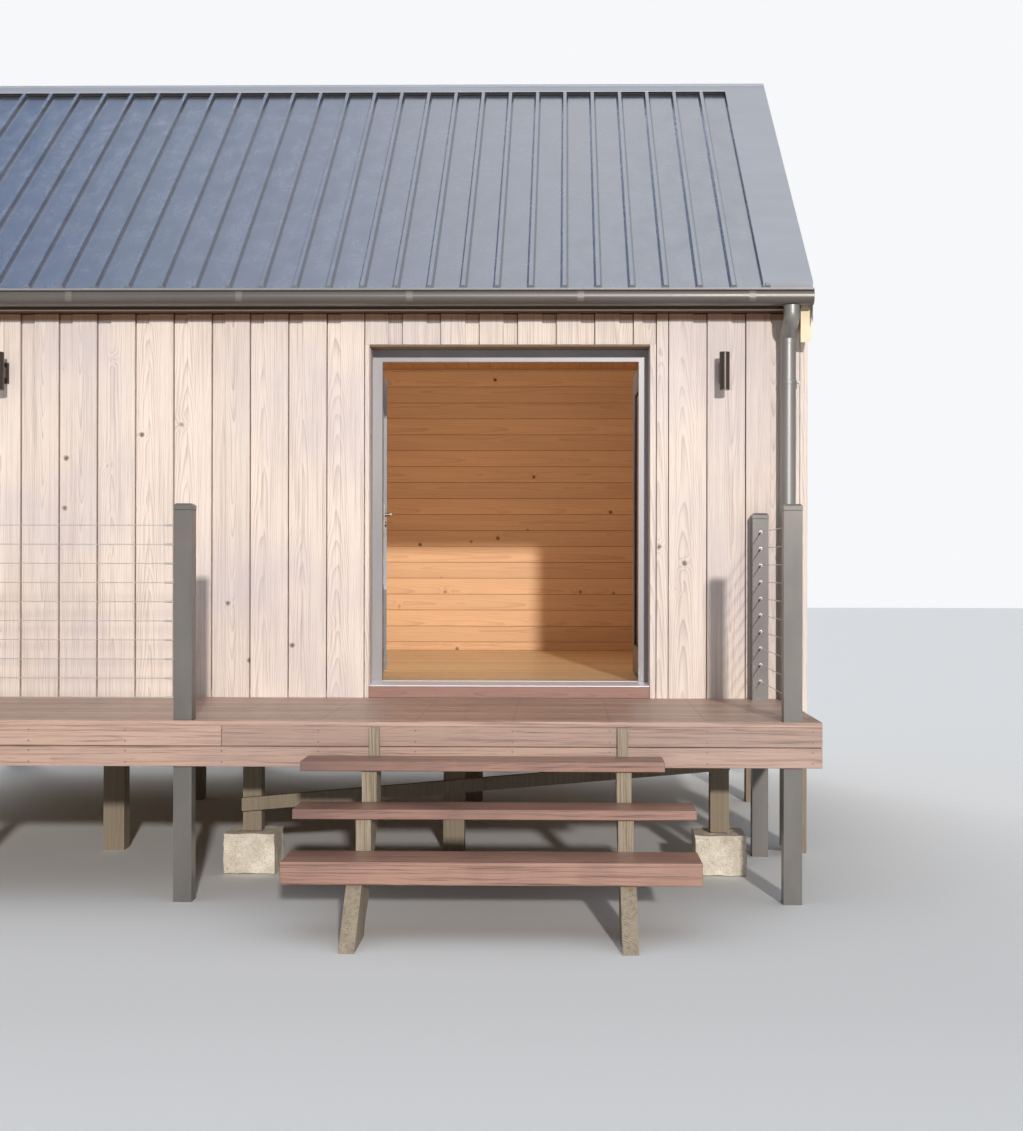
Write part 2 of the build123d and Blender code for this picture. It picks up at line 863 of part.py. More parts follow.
def wire_run(start, end):
    """Taut wires between two post faces, with a fitting at each end of each wire."""
    x0, y0 = start
    x1, y1 = end
    along_x = y0 == y1
    turn = Rot(0, 90, 0) if along_x else Rot(90, 0, 0)
    length = abs(x1 - x0) if along_x else abs(y1 - y0)
    bare = length - 2 * fitting_length
    shift = (bare + fitting_length) / 2
    pieces = []
    for z in wire_heights:
        middle = Pos((x0 + x1) / 2, (y0 + y1) / 2, z) * turn
        wire = middle * Cylinder(wire_radius, bare)
        first = middle * Pos(0, 0, -shift) * Cylinder(fitting_radius, fitting_length)
        last = middle * Pos(0, 0, shift) * Cylinder(fitting_radius, fitting_length)
        pieces.append(wire + first + last)
    return pieces


half_post = post_size / 2
save("posts_front", *[post(place) for place in post_places[:4]])
save("posts_rear", *[post(place) for place in post_places[4:]])
side_start = rear_post_y - half_post
side_end = front_post_y + half_post
save(
    "balustrade_wires",
    *wire_run((post_x, side_start), (post_x, side_end)),
    *wire_run((-post_x, side_start), (-post_x, side_end)),
    *wire_run((-post_x + half_post, front_post_y), (middle_post_x - half_post, front_post_y)),
    *wire_run((middle_post_x + half_post, front_post_y), (gate_post_x - half_post, front_post_y)),
)


# Steps
def tread(index, length):
    left = stair_centre - tread_length / 2
    front = deck_front - tread_fronts[index]
    top = tread_tops[index]
    return block(left, left + length, front, front + tread_depths[index], top - tread_thicks[index], top)


def stringer(x):
    seats = [tread_tops[i] - tread_thicks[i] for i in range(3)]
    steps = [deck_front - tread_fronts[i] + tread_lip for i in range(3)]
    head = deck_front - cleat_thick
    points = [
        (head, seats[0]),
        (steps[0], seats[0]),
        (steps[0], seats[1]),
        (steps[1], seats[1]),
        (steps[1], seats[2]),
        (steps[2], seats[2]),
        (deck_front - stringer_foot, 0),
        (deck_front - stringer_heel, 0),
        (head, stringer_back),
    ]
    return side_profile(points, x - stringer_thick / 2, x + stringer_thick / 2)


def cleated_stringer(x):
    half = cleat_width / 2
    cleat = block(
        x - half, x + half, deck_front - cleat_thick, deck_front, stringer_back + cleat_thick, deck_joist_top - 4
    )
    return stringer(x) + cleat


left_x = stair_centre - stringer_offset
right_x = stair_centre + stringer_offset
save("step_treads", tread(0, top_tread_length), tread(1, tread_length), tread(2, tread_length))
save("stringers", cleated_stringer(left_x), cleated_stringer(right_x))

print("origin shift", -origin_y)
print("left pin", left_pin_x, pin_y - origin_y, "right pin", right_pin_x)
print("leaf width", leaf_width, "leaf", leaf_bottom, leaf_top)
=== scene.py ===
import math
import random

import bmesh
import bpy
from mathutils import Matrix, Vector, noise


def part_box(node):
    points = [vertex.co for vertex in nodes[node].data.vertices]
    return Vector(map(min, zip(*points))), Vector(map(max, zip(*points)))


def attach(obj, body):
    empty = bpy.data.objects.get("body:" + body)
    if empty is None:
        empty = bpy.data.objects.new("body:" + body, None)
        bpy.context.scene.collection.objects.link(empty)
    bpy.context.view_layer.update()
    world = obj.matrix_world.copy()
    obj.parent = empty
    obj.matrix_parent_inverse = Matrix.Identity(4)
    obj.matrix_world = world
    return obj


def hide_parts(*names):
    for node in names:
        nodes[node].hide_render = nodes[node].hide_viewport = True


# Looks of the modular timber cabin. Metres, +Z up, the front with the deck faces -Y.

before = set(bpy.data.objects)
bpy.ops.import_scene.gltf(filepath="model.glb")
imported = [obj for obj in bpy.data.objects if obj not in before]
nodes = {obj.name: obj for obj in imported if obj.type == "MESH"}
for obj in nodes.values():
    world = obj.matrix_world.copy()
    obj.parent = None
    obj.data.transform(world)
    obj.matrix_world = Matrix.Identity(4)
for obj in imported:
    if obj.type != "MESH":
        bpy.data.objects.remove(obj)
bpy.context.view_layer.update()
scene = bpy.context.scene

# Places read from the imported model
wall_low, wall_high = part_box("front_wall_left")
deck_low, deck_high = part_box("deck_boards")
floor_low, floor_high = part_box("floor_boards")
ceiling_low, ceiling_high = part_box("ceiling")
head_low, head_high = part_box("door_head_trim")
eave_low, eave_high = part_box("eave_boxes")
gutter_low, gutter_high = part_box("gutters")
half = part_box("gable_wall_right")[1].x
front = wall_low.y
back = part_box("back_wall")[1].y
middle = (front + back) / 2
wall = wall_high.y - wall_low.y
skirt = wall_low.z
floor_top = floor_high.z
ceiling = ceiling_low.z
inner_x = half - wall
inner_front = front + wall
inner_back = back - wall
door_left = head_low.x
door_right = head_high.x
head = head_high.z
frame_head = head_low.z

# Cladding: boards with a raised face and a sunk strip
board_pitch = 0.222
board_thick = 0.032
strip = 0.080
sunk = 0.018
joint = 0.0045
corner_board = 0.044
eave_board_top = 3.104

# Joints of the front's boards, measured from the wall's right end
left_joint = half - 2.769
header_left = half - 2.549
header_first = half - 2.333
header_right = half - 0.868
right_joint = half - 0.798

# Lining, ceiling and floor boards
lining_thick = 0.012
lining_pitch = 0.131
lining_first = 0.067
lining_joints = (0.0004, 0.0012)
ceiling_pitch = 0.090
ceiling_joint = 0.0006
floor_pitch = 0.130
floor_joint = 0.0005

# The doorway's sides
reveal_thick = 0.012
reveal_tall = 1.958
frame_pocket = 0.0425
frame_depth = 0.095
frame_front = inner_front - frame_depth

# The roof's slope, which passes through the eave's top
pitch = math.radians(37.5)
eave_y = 2.340
eave_z = 3.211
barge_depth = 0.262

# Left between parts that would share a face
hairline = 0.001

rng = random.Random(41)


def roof_height(y, level):
    """Height above ground of a plane at level, square to the slope, over a place y."""
    return eave_z + (eave_y - abs(y - middle)) * math.tan(pitch) + level / math.cos(pitch)


def rectangle(u0, u1, v0, v1):
    return [(u0, v0), (u1, v0), (u1, v1), (u0, v1)]


# Meshes


class Boards:
    """Straight pieces in one mesh. Each has its own grain coordinates and its own tone."""

    def __init__(self, name):
        self.name = name
        self.points = []
        self.faces = []
        self.grain = []
        self.tone = []

    def piece(self, first, last, axes):
        """A piece between two matching end outlines. axes names across, depth and along, as in "xyz"."""
        count = len(first)
        start = len(self.points)
        order = ["xyz".index(c) for c in axes]
        loop = [Vector(p) for p in first] + [Vector(p) for p in last]
        centre = sum(loop, Vector()) / len(loop)
        shift = rng.uniform(0, 40)
        tone = rng.random()
        for p in loop:
            self.points.append(p)
            local = p - centre
            self.grain.append((local[order[0]], local[order[1]], local[order[2]] + shift))
            self.tone.append(tone)
        self.faces.append([start + i for i in reversed(range(count))])
        self.faces.append([start + count + i for i in range(count)])
        for i in range(count):
            j = (i + 1) % count
            self.faces.append([start + i, start + j, start + count + j, start + count + i])

    def level(self, section, low_x, high_x, axes="zyx"):
        """A piece along X, from its section as (y, z)."""
        self.piece([(low_x, y, z) for y, z in section], [(high_x, y, z) for y, z in section], axes)

    def upright(self, plan, low_z, high_z, axes="xyz"):
        """A standing piece, from its plan as (x, y)."""
        self.piece([(x, y, low_z) for x, y in plan], [(x, y, high_z) for x, y in plan], axes)

    def box(self, low, high, axes):
        along = "xyz".index(axes[2])
        u, v = [i for i in range(3) if i != along]
        ends = []
        for level in (low[along], high[along]):
            loop = []
            for a, b in rectangle(low[u], high[u], low[v], high[v]):
                p = [0, 0, 0]
                p[u] = a
                p[v] = b
                p[along] = level
                loop.append(p)
            ends.append(loop)
        self.piece(ends[0], ends[1], axes)

    def build(self, material, bevel=0.0015, **riding):
        mesh = bpy.data.meshes.new(self.name)
        mesh.from_pydata([tuple(p) for p in self.points], [], self.faces)
        tidy = bmesh.new()
        tidy.from_mesh(mesh)
        bmesh.ops.recalc_face_normals(tidy, faces=tidy.faces)
        tidy.to_mesh(mesh)
        tidy.free()
        mesh.attributes.new("grain", "FLOAT_VECTOR", "POINT")
        mesh.attributes.new("tone", "FLOAT", "POINT")
        mesh.attributes["grain"].data.foreach_set("vector", [v for place in self.grain for v in place])
        mesh.attributes["tone"].data.foreach_set("value", self.tone)
        dress(mesh, material, bevel, **riding)


def dress(mesh, material, bevel, segments=1, replaces=None, body="cabin", slot=None):
    """Turns a mesh into a piece that rides on a body."""
    piece = bpy.data.objects.new(mesh.name, mesh)
    scene.collection.objects.link(piece)
    mesh.materials.append(material)
    if bevel:
        edge = piece.modifiers.new("edges", "BEVEL")
        edge.width = bevel
        edge.segments = segments
        edge.limit_method = "ANGLE"
        edge.angle_limit = math.radians(40)
    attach(piece, body)
    if replaces:
        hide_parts(replaces)


def solid(name, shapes, material, bevel=0.0, **riding):
    """One piece from several bmesh shapes."""
    mesh = bpy.data.meshes.new(name)
    whole = bmesh.new()
    for shape in shapes:
        part = bpy.data.meshes.new("part")
        shape.to_mesh(part)
        whole.from_mesh(part)
        shape.free()
        bpy.data.meshes.remove(part)
    whole.to_mesh(mesh)
    whole.free()
    dress(mesh, material, bevel, **riding)


def disc(place, axis, radius, length, sides=12):
    """A short round bar centred on place."""
    shape = bmesh.new()
    turn = Vector((0, 0, 1)).rotation_difference(Vector(axis)).to_matrix().to_4x4()
    bmesh.ops.create_cone(
        shape, cap_ends=True, segments=sides, radius1=radius, radius2=radius, depth=length,
        matrix=Matrix.Translation(place) @ turn,
    )
    return shape


def slab(low, high):
    shape = bmesh.new()
    size = Vector(high) - Vector(low)
    centre = (Vector(high) + Vector(low)) / 2
    bmesh.ops.create_cube(shape, size=1, matrix=Matrix.Translation(centre) @ Matrix.Diagonal((*size, 1)))
    return shape


# Materials


def feed(item, values):
    for key, value in values.items():
        if isinstance(value, bpy.types.NodeSocket):
            item.id_data.links.new(value, item.inputs[key])
        else:
            item.inputs[key].default_value = value


def add(tree, kind, values=None, **settings):
    item = tree.nodes.new("ShaderNode" + kind)
    for key, value in settings.items():
        setattr(item, key, value)
    feed(item, values or {})
    return item


def calc(operation, a, b=0.0, clamp=False):
    """Reckons with a, a node's output, in that node's tree."""
    item = add(a.id_data, "Math", {0: a, 1: b}, operation=operation)
    item.use_clamp = clamp
    return item.outputs[0]


def times(a, b, clamp=False):
    return calc("MULTIPLY", a, b, clamp)


def plus(a, b, clamp=False):
    return calc("ADD", a, b, clamp)


def sway(value, size):
    """A value from 0 to 1, moved to swing about 0 and scaled."""
    return times(calc("SUBTRACT", value, 0.5), size)


def vector(x, y, z):
    return add(x.id_data, "CombineXYZ", {0: x, 1: y, 2: z}).outputs[0]


def cloud(place, scale=1.0, detail=2.0, roughness=0.5):
    values = {"Vector": place, "Scale": scale, "Detail": detail, "Roughness": roughness}
    return add(place.id_data, "TexNoise", values).outputs["Fac"]


def streaks(place, fineness, detail=2.0, roughness=0.5, scale=1.0):
    """Clouds with a fineness of their own across, in depth and along."""
    parts = [times(part, fine) for part, fine in zip(place, fineness)]
    return cloud(vector(*parts), scale, detail, roughness)


def spread(value, low, high, to_low=0.0, to_high=1.0):
    values = {0: value, 1: low, 2: high, 3: to_low, 4: to_high}
    return add(value.id_data, "MapRange", values).outputs[0]


def blend(factor, a, b, mode="MIX"):
    a, b = [v if isinstance(v, bpy.types.NodeSocket) else (*v, 1) for v in (a, b)]
    tree = (a if mode == "MULTIPLY" else factor).id_data
    return add(tree, "Mix", {0: factor, 6: a, 7: b}, data_type="RGBA", blend_type=mode).outputs[2]


def colour(values, light=1.0):
    """A colour written as screen values out of 255, made darker or lighter by light."""
    linear = [(v / 255 / 12.92) if v <= 10 else ((v / 255 + 0.055) / 1.055) ** 2.4 for v in values]
    return tuple(min(1.0, v * light) for v in linear)


def material(name):
    made = bpy.data.materials.new(name)
    made.use_nodes = True
    return made, made.node_tree, made.node_tree.nodes["Principled BSDF"]


def object_place(tree):
    return add(tree, "TexCoord").outputs["Object"]


def object_axes(tree, axes):
    split = add(tree, "SeparateXYZ", {0: object_place(tree)})
    return [split.outputs["xyz".index(c)] for c in axes]


def finish(shader, base, height, strength, distance):
    """Gives a material its colour and its fine relief."""
    bump = add(shader.id_data, "Bump", {"Strength": strength, "Distance": distance, "Height": height})
    feed(shader, {"Base Color": base, "Normal": bump.outputs[0]})


def wood(name, pale, dark, axes=None, ring=0.008, contrast=0.6, streak=0.3, knots=0.0, knot=None,
         wash=0.0, wash_colour=(231.1, 228.5, 223.3), rough=0.6, lift=0.25, tones=0.3, arch=0.02, bands=0.0,
         eave_shade_above=None, eave_shade_colour=None, few=0.55, dapple_and_weather_colour=None, dapple_and_weather_amount=0.42):
    """Sawn timber: rings cut by the board's face, fibres along it, knots and a wash."""
    made, tree, shader = material(name)
    if axes:
        timber_size = 0.35
        across, depth, along = object_axes(tree, axes)
        cell = vector(calc("SNAP", across, timber_size), calc("SNAP", depth, timber_size), 0.0)
        tone = add(tree, "TexWhiteNoise", {"Vector": cell}, noise_dimensions="3D").outputs["Value"]
        across = calc("PINGPONG", across, 0.15)
        depth = calc("PINGPONG", depth, 0.15)
    else:
        grain = add(tree, "Attribute", attribute_name="grain").outputs["Vector"]
        across, depth, along = add(tree, "SeparateXYZ", {0: grain}).outputs
        tone = add(tree, "Attribute", attribute_name="tone").outputs["Fac"]
    place = (across, depth, along)

    # Distance from the heart of the log, which wanders and tapers along the board
    drift = streaks(place, (4, 1, 0.8), detail=3)
    side = plus(plus(across, sway(drift, 0.05)), sway(tone, 0.09))
    deep = plus(plus(depth, 0.03), times(tone, 0.05))
    radius = calc("SQRT", plus(times(side, side), times(deep, deep)))
    wander = streaks((across, tone, along), (7, 1, 1.6))
    radius = plus(radius, times(wander, 0.030))
    radius = plus(radius, times(along, sway(tone, arch)))

    # Knots in some of the cells of a coarse mesh. The rings bend round them
    if knots:
        knot_spacing = 0.19
        ragged = sway(cloud(vector(*place), scale=55), 0.016)
        cells = vector(plus(across, ragged), times(tone, 3.1), calc("SUBTRACT", along, ragged))
        cell = add(tree, "TexVoronoi", {"Vector": cells, "Scale": 1 / knot_spacing})
        far = cell.outputs["Distance"]
        pick = add(tree, "SeparateColor", {0: cell.outputs["Color"]}).outputs[0]
        chosen = spread(pick, few, few + 0.02)
        spot = times(spread(far, 0.105, 0.045), chosen)
        halo = times(spread(far, 0.34, 0.03), chosen)
        radius = plus(radius, times(times(halo, halo), 0.022))

    phase = calc("FRACT", calc("DIVIDE", radius, ring))
    late = times(calc("POWER", phase, 2.6), spread(phase, 1.0, 0.93))
    fibres = streaks(place, (420, 420, 7), detail=4, roughness=0.6)
    patch = streaks(place, (9, 9, 1.1), detail=3)
    mask = plus(times(late, contrast), sway(fibres, streak * 2))
    if bands:
        band = streaks(place, (75, 75, 1.4), detail=3, roughness=0.65)
        mask = plus(mask, sway(band, bands))
    mask = plus(mask, sway(patch, 0.6), clamp=True)
    base = blend(mask, colour(pale), colour(dark))
    shade = spread(tone, 0.0, 1.0, 1 - tones / 2, 1 + tones / 2)
    base = blend(1.0, base, add(tree, "CombineColor", {0: shade, 1: shade, 2: shade}).outputs[0], "MULTIPLY")
    if wash:
        cover = times(spread(patch, 0.2, 0.8, 0.7, 1.2), wash, clamp=True)
        base = blend(cover, base, colour(wash_colour))
    # Painted dappled shade: large patches over the piece in object space, in a darker, cooler colour, as of
    # leaves between the piece and the sun. On the deck boards they stand also for greyed, weathered timber.
    if dapple_and_weather_colour:
        dapple_and_weather_patches = cloud(object_place(tree), scale=1.3, detail=4, roughness=0.55)
        base = blend(spread(dapple_and_weather_patches, 0.46, 0.68, 0.0, dapple_and_weather_amount), base, colour(dapple_and_weather_colour))
    # Painted shade: above a given level the board turns to a brown band, darker in the late wood, that stands
    # for the eave's shade. It is meant also as timber left unbleached under the eave.
    if eave_shade_above:
        level = object_axes(tree, "xyz")[2]
        cover = spread(level, eave_shade_above - 0.004, eave_shade_above + 0.006, 0.0, 0.9)
        base = blend(cover, base, blend(mask, colour(eave_shade_colour), colour(eave_shade_colour, 0.45)))
    if knots:
        base = blend(times(spot, knots), base, colour(knot))
    feed(shader, {"Roughness": spread(fibres, 0.2, 0.8, rough - 0.1, rough + 0.12)})
    finish(shader, base, plus(times(late, 0.5), fibres), lift, 0.0012)
    return made


def coat(name, tint, rough=0.4, metal=0.0, axes="xyz", mottle=0.06, dust=None, dusty=0.0, dents=0.0,
         grain=0.0):
    """Paint or bare metal: slow changes of tone along the piece, fine texture, some dust."""
    made, tree, shader = material(name)
    place = object_axes(tree, axes)
    even = vector(*place)
    slow = streaks(place, (6, 6, 1), detail=4, scale=1.3)
    speck = cloud(even, scale=260)
    base = blend(spread(slow, 0.3, 0.7), colour(tint, 1 - mottle), colour(tint, 1 + mottle))
    if dust:
        fall = spread(cloud(even, scale=5, detail=5), 0.42, 0.75)
        base = blend(times(fall, dusty, clamp=True), base, colour(dust))
    uneven = spread(plus(slow, speck), 0.6, 1.4, rough - 0.07, rough + 0.1)
    feed(shader, {"Metallic": metal, "Roughness": uneven})
    height = times(speck, 0.02 + grain)
    if grain:
        height = plus(height, times(streaks(place, (900, 900, 12)), grain))
    if dents:
        height = plus(height, times(streaks(place, (7, 2, 0.9), detail=1), dents))
    finish(shader, base, height, 0.5, 0.004)
    return made


def rock(name, pale, dark, rough=0.85):
    made, tree, shader = material(name)
    place = object_place(tree)
    large = cloud(place, scale=9, detail=6, roughness=0.65)
    grit = cloud(place, scale=140, detail=4, roughness=0.7)
    pits = add(tree, "TexVoronoi", {"Vector": place, "Scale": 60}).outputs["Distance"]
    mask = plus(large, sway(grit, 0.8), clamp=True)
    base = blend(spread(mask, 0.3, 0.75), colour(dark), colour(pale))
    # The pits are painted darker: painted shade in the hollows.
    base = blend(spread(pits, 0.22, 0.10, 0.0, 0.5), base, colour(dark, 0.4))
    feed(shader, {"Roughness": rough})
    height = plus(times(large, 1.5), plus(grit, spread(pits, 0, 0.3)))
    finish(shader, base, height, 0.7, 0.004)
    return made


def clear(name):
    made, tree, shader = material(name)
    feed(shader, {"Base Color": (0.93, 0.97, 0.96, 1), "Transmission Weight": 1.0, "IOR": 1.45})
    smear = cloud(object_place(tree), scale=4, detail=4)
    feed(shader, {"Roughness": spread(smear, 0.3, 0.8, 0.0, 0.06)})
    return made


def clad_wood(name, eave_shade_above=None):
    """Whitewashed boards with lilac patches of painted dappled shade. With a level given, a brown band above
    it is painted shade of the eave, meant also as timber left unbleached there.
    """
    return wood(
        name, (232, 216, 202), (140, 114, 100), contrast=0.52, streak=0.34,
        knots=0.85, knot=(88, 64, 50), wash=0.16, wash_colour=(218, 212, 216), rough=0.72, lift=0.3,
        tones=0.15, arch=0.11, bands=1.25, eave_shade_above=eave_shade_above, eave_shade_colour=(166, 118, 82),
        dapple_and_weather_colour=(196, 186, 194),
    )


cladding = clad_wood("whitewashed_cladding")
# 3.066 is where the eave's shadow ends on the wall: above it the eave's shade is painted into the boards.
eave_shaded_cladding = clad_wood("cladding_with_eave_shade", 3.066)
lining = wood(
    "pine_lining", (206, 162, 118), (160, 114, 76), ring=0.011, contrast=0.42, streak=0.18, knots=0.9,
    knot=(86, 48, 26), rough=0.5, lift=0.12, tones=0.14, arch=0.05, bands=0.25, few=0.62,
)
floor_wood = wood(
    "floor_timber", (222, 192, 148), (178, 140, 98), ring=0.007, streak=0.2, knots=0.4,
    knot=(96, 60, 34), rough=0.4, lift=0.1, tones=0.2,
)
# The deck boards' greyer patches are painted dappled shade and also weathered timber.
hardwood = wood(
    "deck_hardwood", (180, 150, 134), (74, 46, 40), ring=0.0060, contrast=0.36, streak=0.60, rough=0.40,
    lift=0.35, tones=0.36, arch=0.03, bands=2.5, dapple_and_weather_colour=(140, 120, 112),
)
# The treads' dark patches are painted dappled shade.
tread_wood = wood(
    "tread_hardwood", (162, 124, 108), (56, 34, 30), ring=0.0060, contrast=0.40, streak=0.55, rough=0.40,
    lift=0.35, tones=0.20, arch=0.03, bands=3.1, dapple_and_weather_colour=(112, 82, 76), dapple_and_weather_amount=0.80,
)
threshold_wood = wood(
    "threshold_timber", (154, 116, 103), (100, 70, 61), ring=0.004, contrast=0.4, streak=0.4, rough=0.5,
    lift=0.2, tones=0.1, bands=0.6,
)
trim_wood = wood(
    "stained_trim", (118, 94, 72), (76, 58, 44), ring=0.005, contrast=0.5, axes="zyx", lift=0.2,
)
old_wood = wood(
    "weathered_timber", (162, 149, 130), (80, 64, 48), axes="xyz", ring=0.009, streak=0.6, rough=0.85,
    lift=0.8, tones=0.2, bands=1.6,
)
stump_wood = wood(
    "stump_timber", (132, 120, 102), (84, 74, 60), axes="xyz", ring=0.011, contrast=0.3, streak=0.35,
    rough=0.85, lift=0.5, bands=0.6,
)
framing_x, framing_y = [
    wood(name, (150, 128, 96), (104, 84, 60), axes=axes, ring=0.007, contrast=0.5, streak=0.4,
         rough=0.75, lift=0.4)
    for name, axes in (("framing_along", "zyx"), ("framing_across", "xzy"))
]
barge_wood = wood(
    "barge_timber", (238, 218, 178), (190, 162, 122), axes="xzy", wash=0.2, rough=0.72, lift=0.3,
)
roof_paint = coat("roof_steel", (156, 161, 172), rough=0.22, metal=0.86, axes="xzy",
                  dust=(150, 152, 156), dusty=0.10, dents=0.20)
cap_paint = coat("ridge_steel", (157, 161, 171), rough=0.45, metal=0.10, axes="zyx")
foot_paint = coat("rib_foot_steel", (134, 138, 147), rough=0.5, metal=0.10, axes="zyx")
gutter_paint = coat("gutter_steel", (102, 96, 92), rough=0.34, metal=0.30, axes="zyx")
strap_paint = coat("gutter_strap", (116, 110, 106), metal=0.25, axes="zyx")
# A lighter copy of the gutter's paint: a painted highlight on the gutters' beads.
bead_highlight_paint = coat("gutter_bead_highlight", (176, 170, 168), rough=0.22, metal=0.60, axes="zyx", mottle=0.04)
pipe_paint = coat("pipe_zinc", (146, 144, 142), rough=0.42, metal=0.50, mottle=0.07)
# Dark brown stain on the fascias and soffits, darkened further as painted shade of the eave.
eave_stain_and_shade = coat("eave_stain_and_shade", (74, 50, 34), rough=0.6, axes="zyx", mottle=0.16)
# Pale paint for the lips: a painted highlight on the fascias' lower edges.
lip_highlight_paint = coat("fascia_lip_highlight", (206, 184, 160), rough=0.5, axes="zyx")
lamp_paint = coat("lamp_brown", (82, 73, 68), rough=0.28, metal=0.5, mottle=0.1)
lens_glass = coat("lamp_lens", (214, 206, 190), rough=0.15, mottle=0.05)
frame_paint = coat("frame_grey", (152, 150, 153), rough=0.34, metal=0.15, mottle=0.05)
leaf_paint = coat("leaf_grey", (104, 106, 112), rough=0.36, metal=0.2, mottle=0.04)
post_paint = coat("post_paint", (104, 101, 98), rough=0.33, metal=0.20, mottle=0.08,
                  dust=(134, 124, 114), dusty=0.25)
sill_paint = coat("sill_metal", (224, 226, 232), rough=0.35, metal=0.2, axes="zyx", mottle=0.03)
steel = coat("bright_steel", (202, 196, 188), rough=0.32, metal=0.55, grain=0.05)
handle_steel = coat("handle_steel", (112, 106, 100), rough=0.32, metal=1.0, grain=0.04)
hinge_steel = coat("hinge_steel", (112, 114, 118), metal=0.6)
dark_gap = coat("building_paper", (62, 48, 40), rough=0.9, mottle=0.3)
# Black for the rubber seals, and also painted shade in the gutters' grooves and under the ridge cap.
black_rubber_and_shade = coat("seal_rubber_and_painted_shade", (26, 26, 28), rough=0.7, mottle=0.2)
concrete = rock("rough_concrete", (238, 230, 214), (186, 174, 156))
glass = clear("clear_glass")

for made, names in (
    (roof_paint, ("roof_sheet_front", "roof_sheet_back")),
    (cap_paint, ("ridge_cap", "verge_flashings")),
    (pipe_paint, ("downpipes",)),
    (eave_stain_and_shade, ("eave_boxes",)),
    (lamp_paint, ("wall_lamps",)),
    (frame_paint, ("door_frame",)),
    (leaf_paint, ("door_leaf_left", "door_leaf_right")),
    (glass, ("door_glass_left", "door_glass_right")),
    (handle_steel, ("door_handle_left",)),
    (hinge_steel, ("door_hinges", "leaf_knuckles_left", "leaf_knuckles_right")),
    (trim_wood, ("door_head_trim",)),
    (post_paint, ("posts_front", "posts_rear")),
    (steel, ("balustrade_wires",)),
    (stump_wood, ("deck_stumps", "cabin_piles")),
    (framing_x, ("floor_bearers", "deck_bearers")),
    (framing_y, ("floor_joists", "deck_joists", "roof_frame")),
    (barge_wood, ("barge_boards",)),
):
    for name in names:
        for entry in nodes[name].material_slots:
            entry.material = made


# Cladding


def clad_outline(start, end, sunk_first, face, inward):
    """A board's outline as (along the wall, depth), its sunk strip on one side."""
    low = start + joint / 2
    high = end - joint / 2
    strip_face = face + inward * sunk
    rear = face + inward * board_thick
    least_face = 0.03
    if end - start < strip + least_face:
        return [(low, rear), (low, face), (high, face), (high, rear)]
    if sunk_first:
        step = start + strip
        return [(low, rear), (low, strip_face), (step, strip_face), (step, face), (high, face), (high, rear)]
    step = end - strip
    return [(low, rear), (low, face), (step, face), (step, strip_face), (high, strip_face), (high, rear)]


def clad(boards, edges, sunk_first, low, high, face=front, inward=1):
    """Upright boards between edges that run along X."""
    for start, end in zip(edges, edges[1:]):
        boards.upright(clad_outline(start, end, sunk_first, face, inward), low, high)


def board_edges(first, last, size):
    """Edges from first to last at a fixed pitch, with the cut board last."""
    edges = [first]
    direction = 1 if last > first else -1
    while (last - edges[-1]) * direction > size:
        edges.append(edges[-1] + direction * size)
    edges.append(last)
    return sorted(edges)


end_x = half - corner_board
beside_door = header_left - hairline
left_wall = Boards("front_cladding_left")
clad(left_wall, board_edges(left_joint, -end_x, board_pitch), True, skirt, eave_board_top)
clad(left_wall, [left_joint, beside_door], True, skirt, eave_board_top)
clad(left_wall, [beside_door, door_left], True, skirt, head)
header = Boards("front_cladding_header")
header_edges = [header_left] + board_edges(header_first, header_right, board_pitch)
clad(header, header_edges, False, head, eave_board_top)
right_wall = Boards("front_cladding_right")
clad(right_wall, [door_right, header_right], False, skirt, head)
clad(right_wall, [header_right, right_joint], False, skirt, eave_board_top)
clad(right_wall, board_edges(right_joint, end_x, board_pitch), False, skirt, eave_board_top)
rear_wall = Boards("back_cladding")
clad(rear_wall, board_edges(-end_x, end_x, board_pitch), True, skirt, eave_board_top, back, -1)

corners = Boards("corner_boards")
for x in (-half, half):
    for y, inward in ((front, 1), (back, -1)):
        plan = rectangle(x, x - math.copysign(corner_board, x), y, y + inward * corner_board)
        bottom = [(u, v, skirt) for u, v in plan]
        top = [(u, v, roof_height(v, -barge_depth)) for u, v in plan]
        corners.piece(bottom, top, "xyz")


def gable_cladding(name, side, replaces):
    boards = Boards(name)
    first = front + corner_board
    last = back - corner_board
    count = round((last - first) / board_pitch)
    size = (last - first) / count
    for i in range(count):
        start = first + i * size
        end = start + size
        outline = clad_outline(start, end, True, half, -1)
        if start < middle < end:
            place = next(n for n, p in enumerate(outline) if p[0] > middle)
            rear = outline[0][1]
            outline = outline[:place] + [(middle, outline[place][1])] + outline[place:] + [(middle, rear)]
        bottom = [(side * x, y, skirt) for y, x in outline]
        top = [(side * x, y, roof_height(y, -barge_depth)) for y, x in outline]
        boards.piece(bottom, top, "yxz")
    boards.build(cladding, bevel=0.002, slot="cladding", replaces=replaces)


for boards, node in (
    (left_wall, "front_wall_left"),
    (right_wall, "front_wall_right"),
    (header, "front_wall_header"),
    (rear_wall, "back_wall"),
):
    boards.build(eave_shaded_cladding, bevel=0.002, slot="cladding", replaces=node)
corners.build(cladding, bevel=0.003, slot="cladding")
gable_cladding("gable_cladding_left", -1, "gable_wall_left")
gable_cladding("gable_cladding_right", 1, "gable_wall_right")

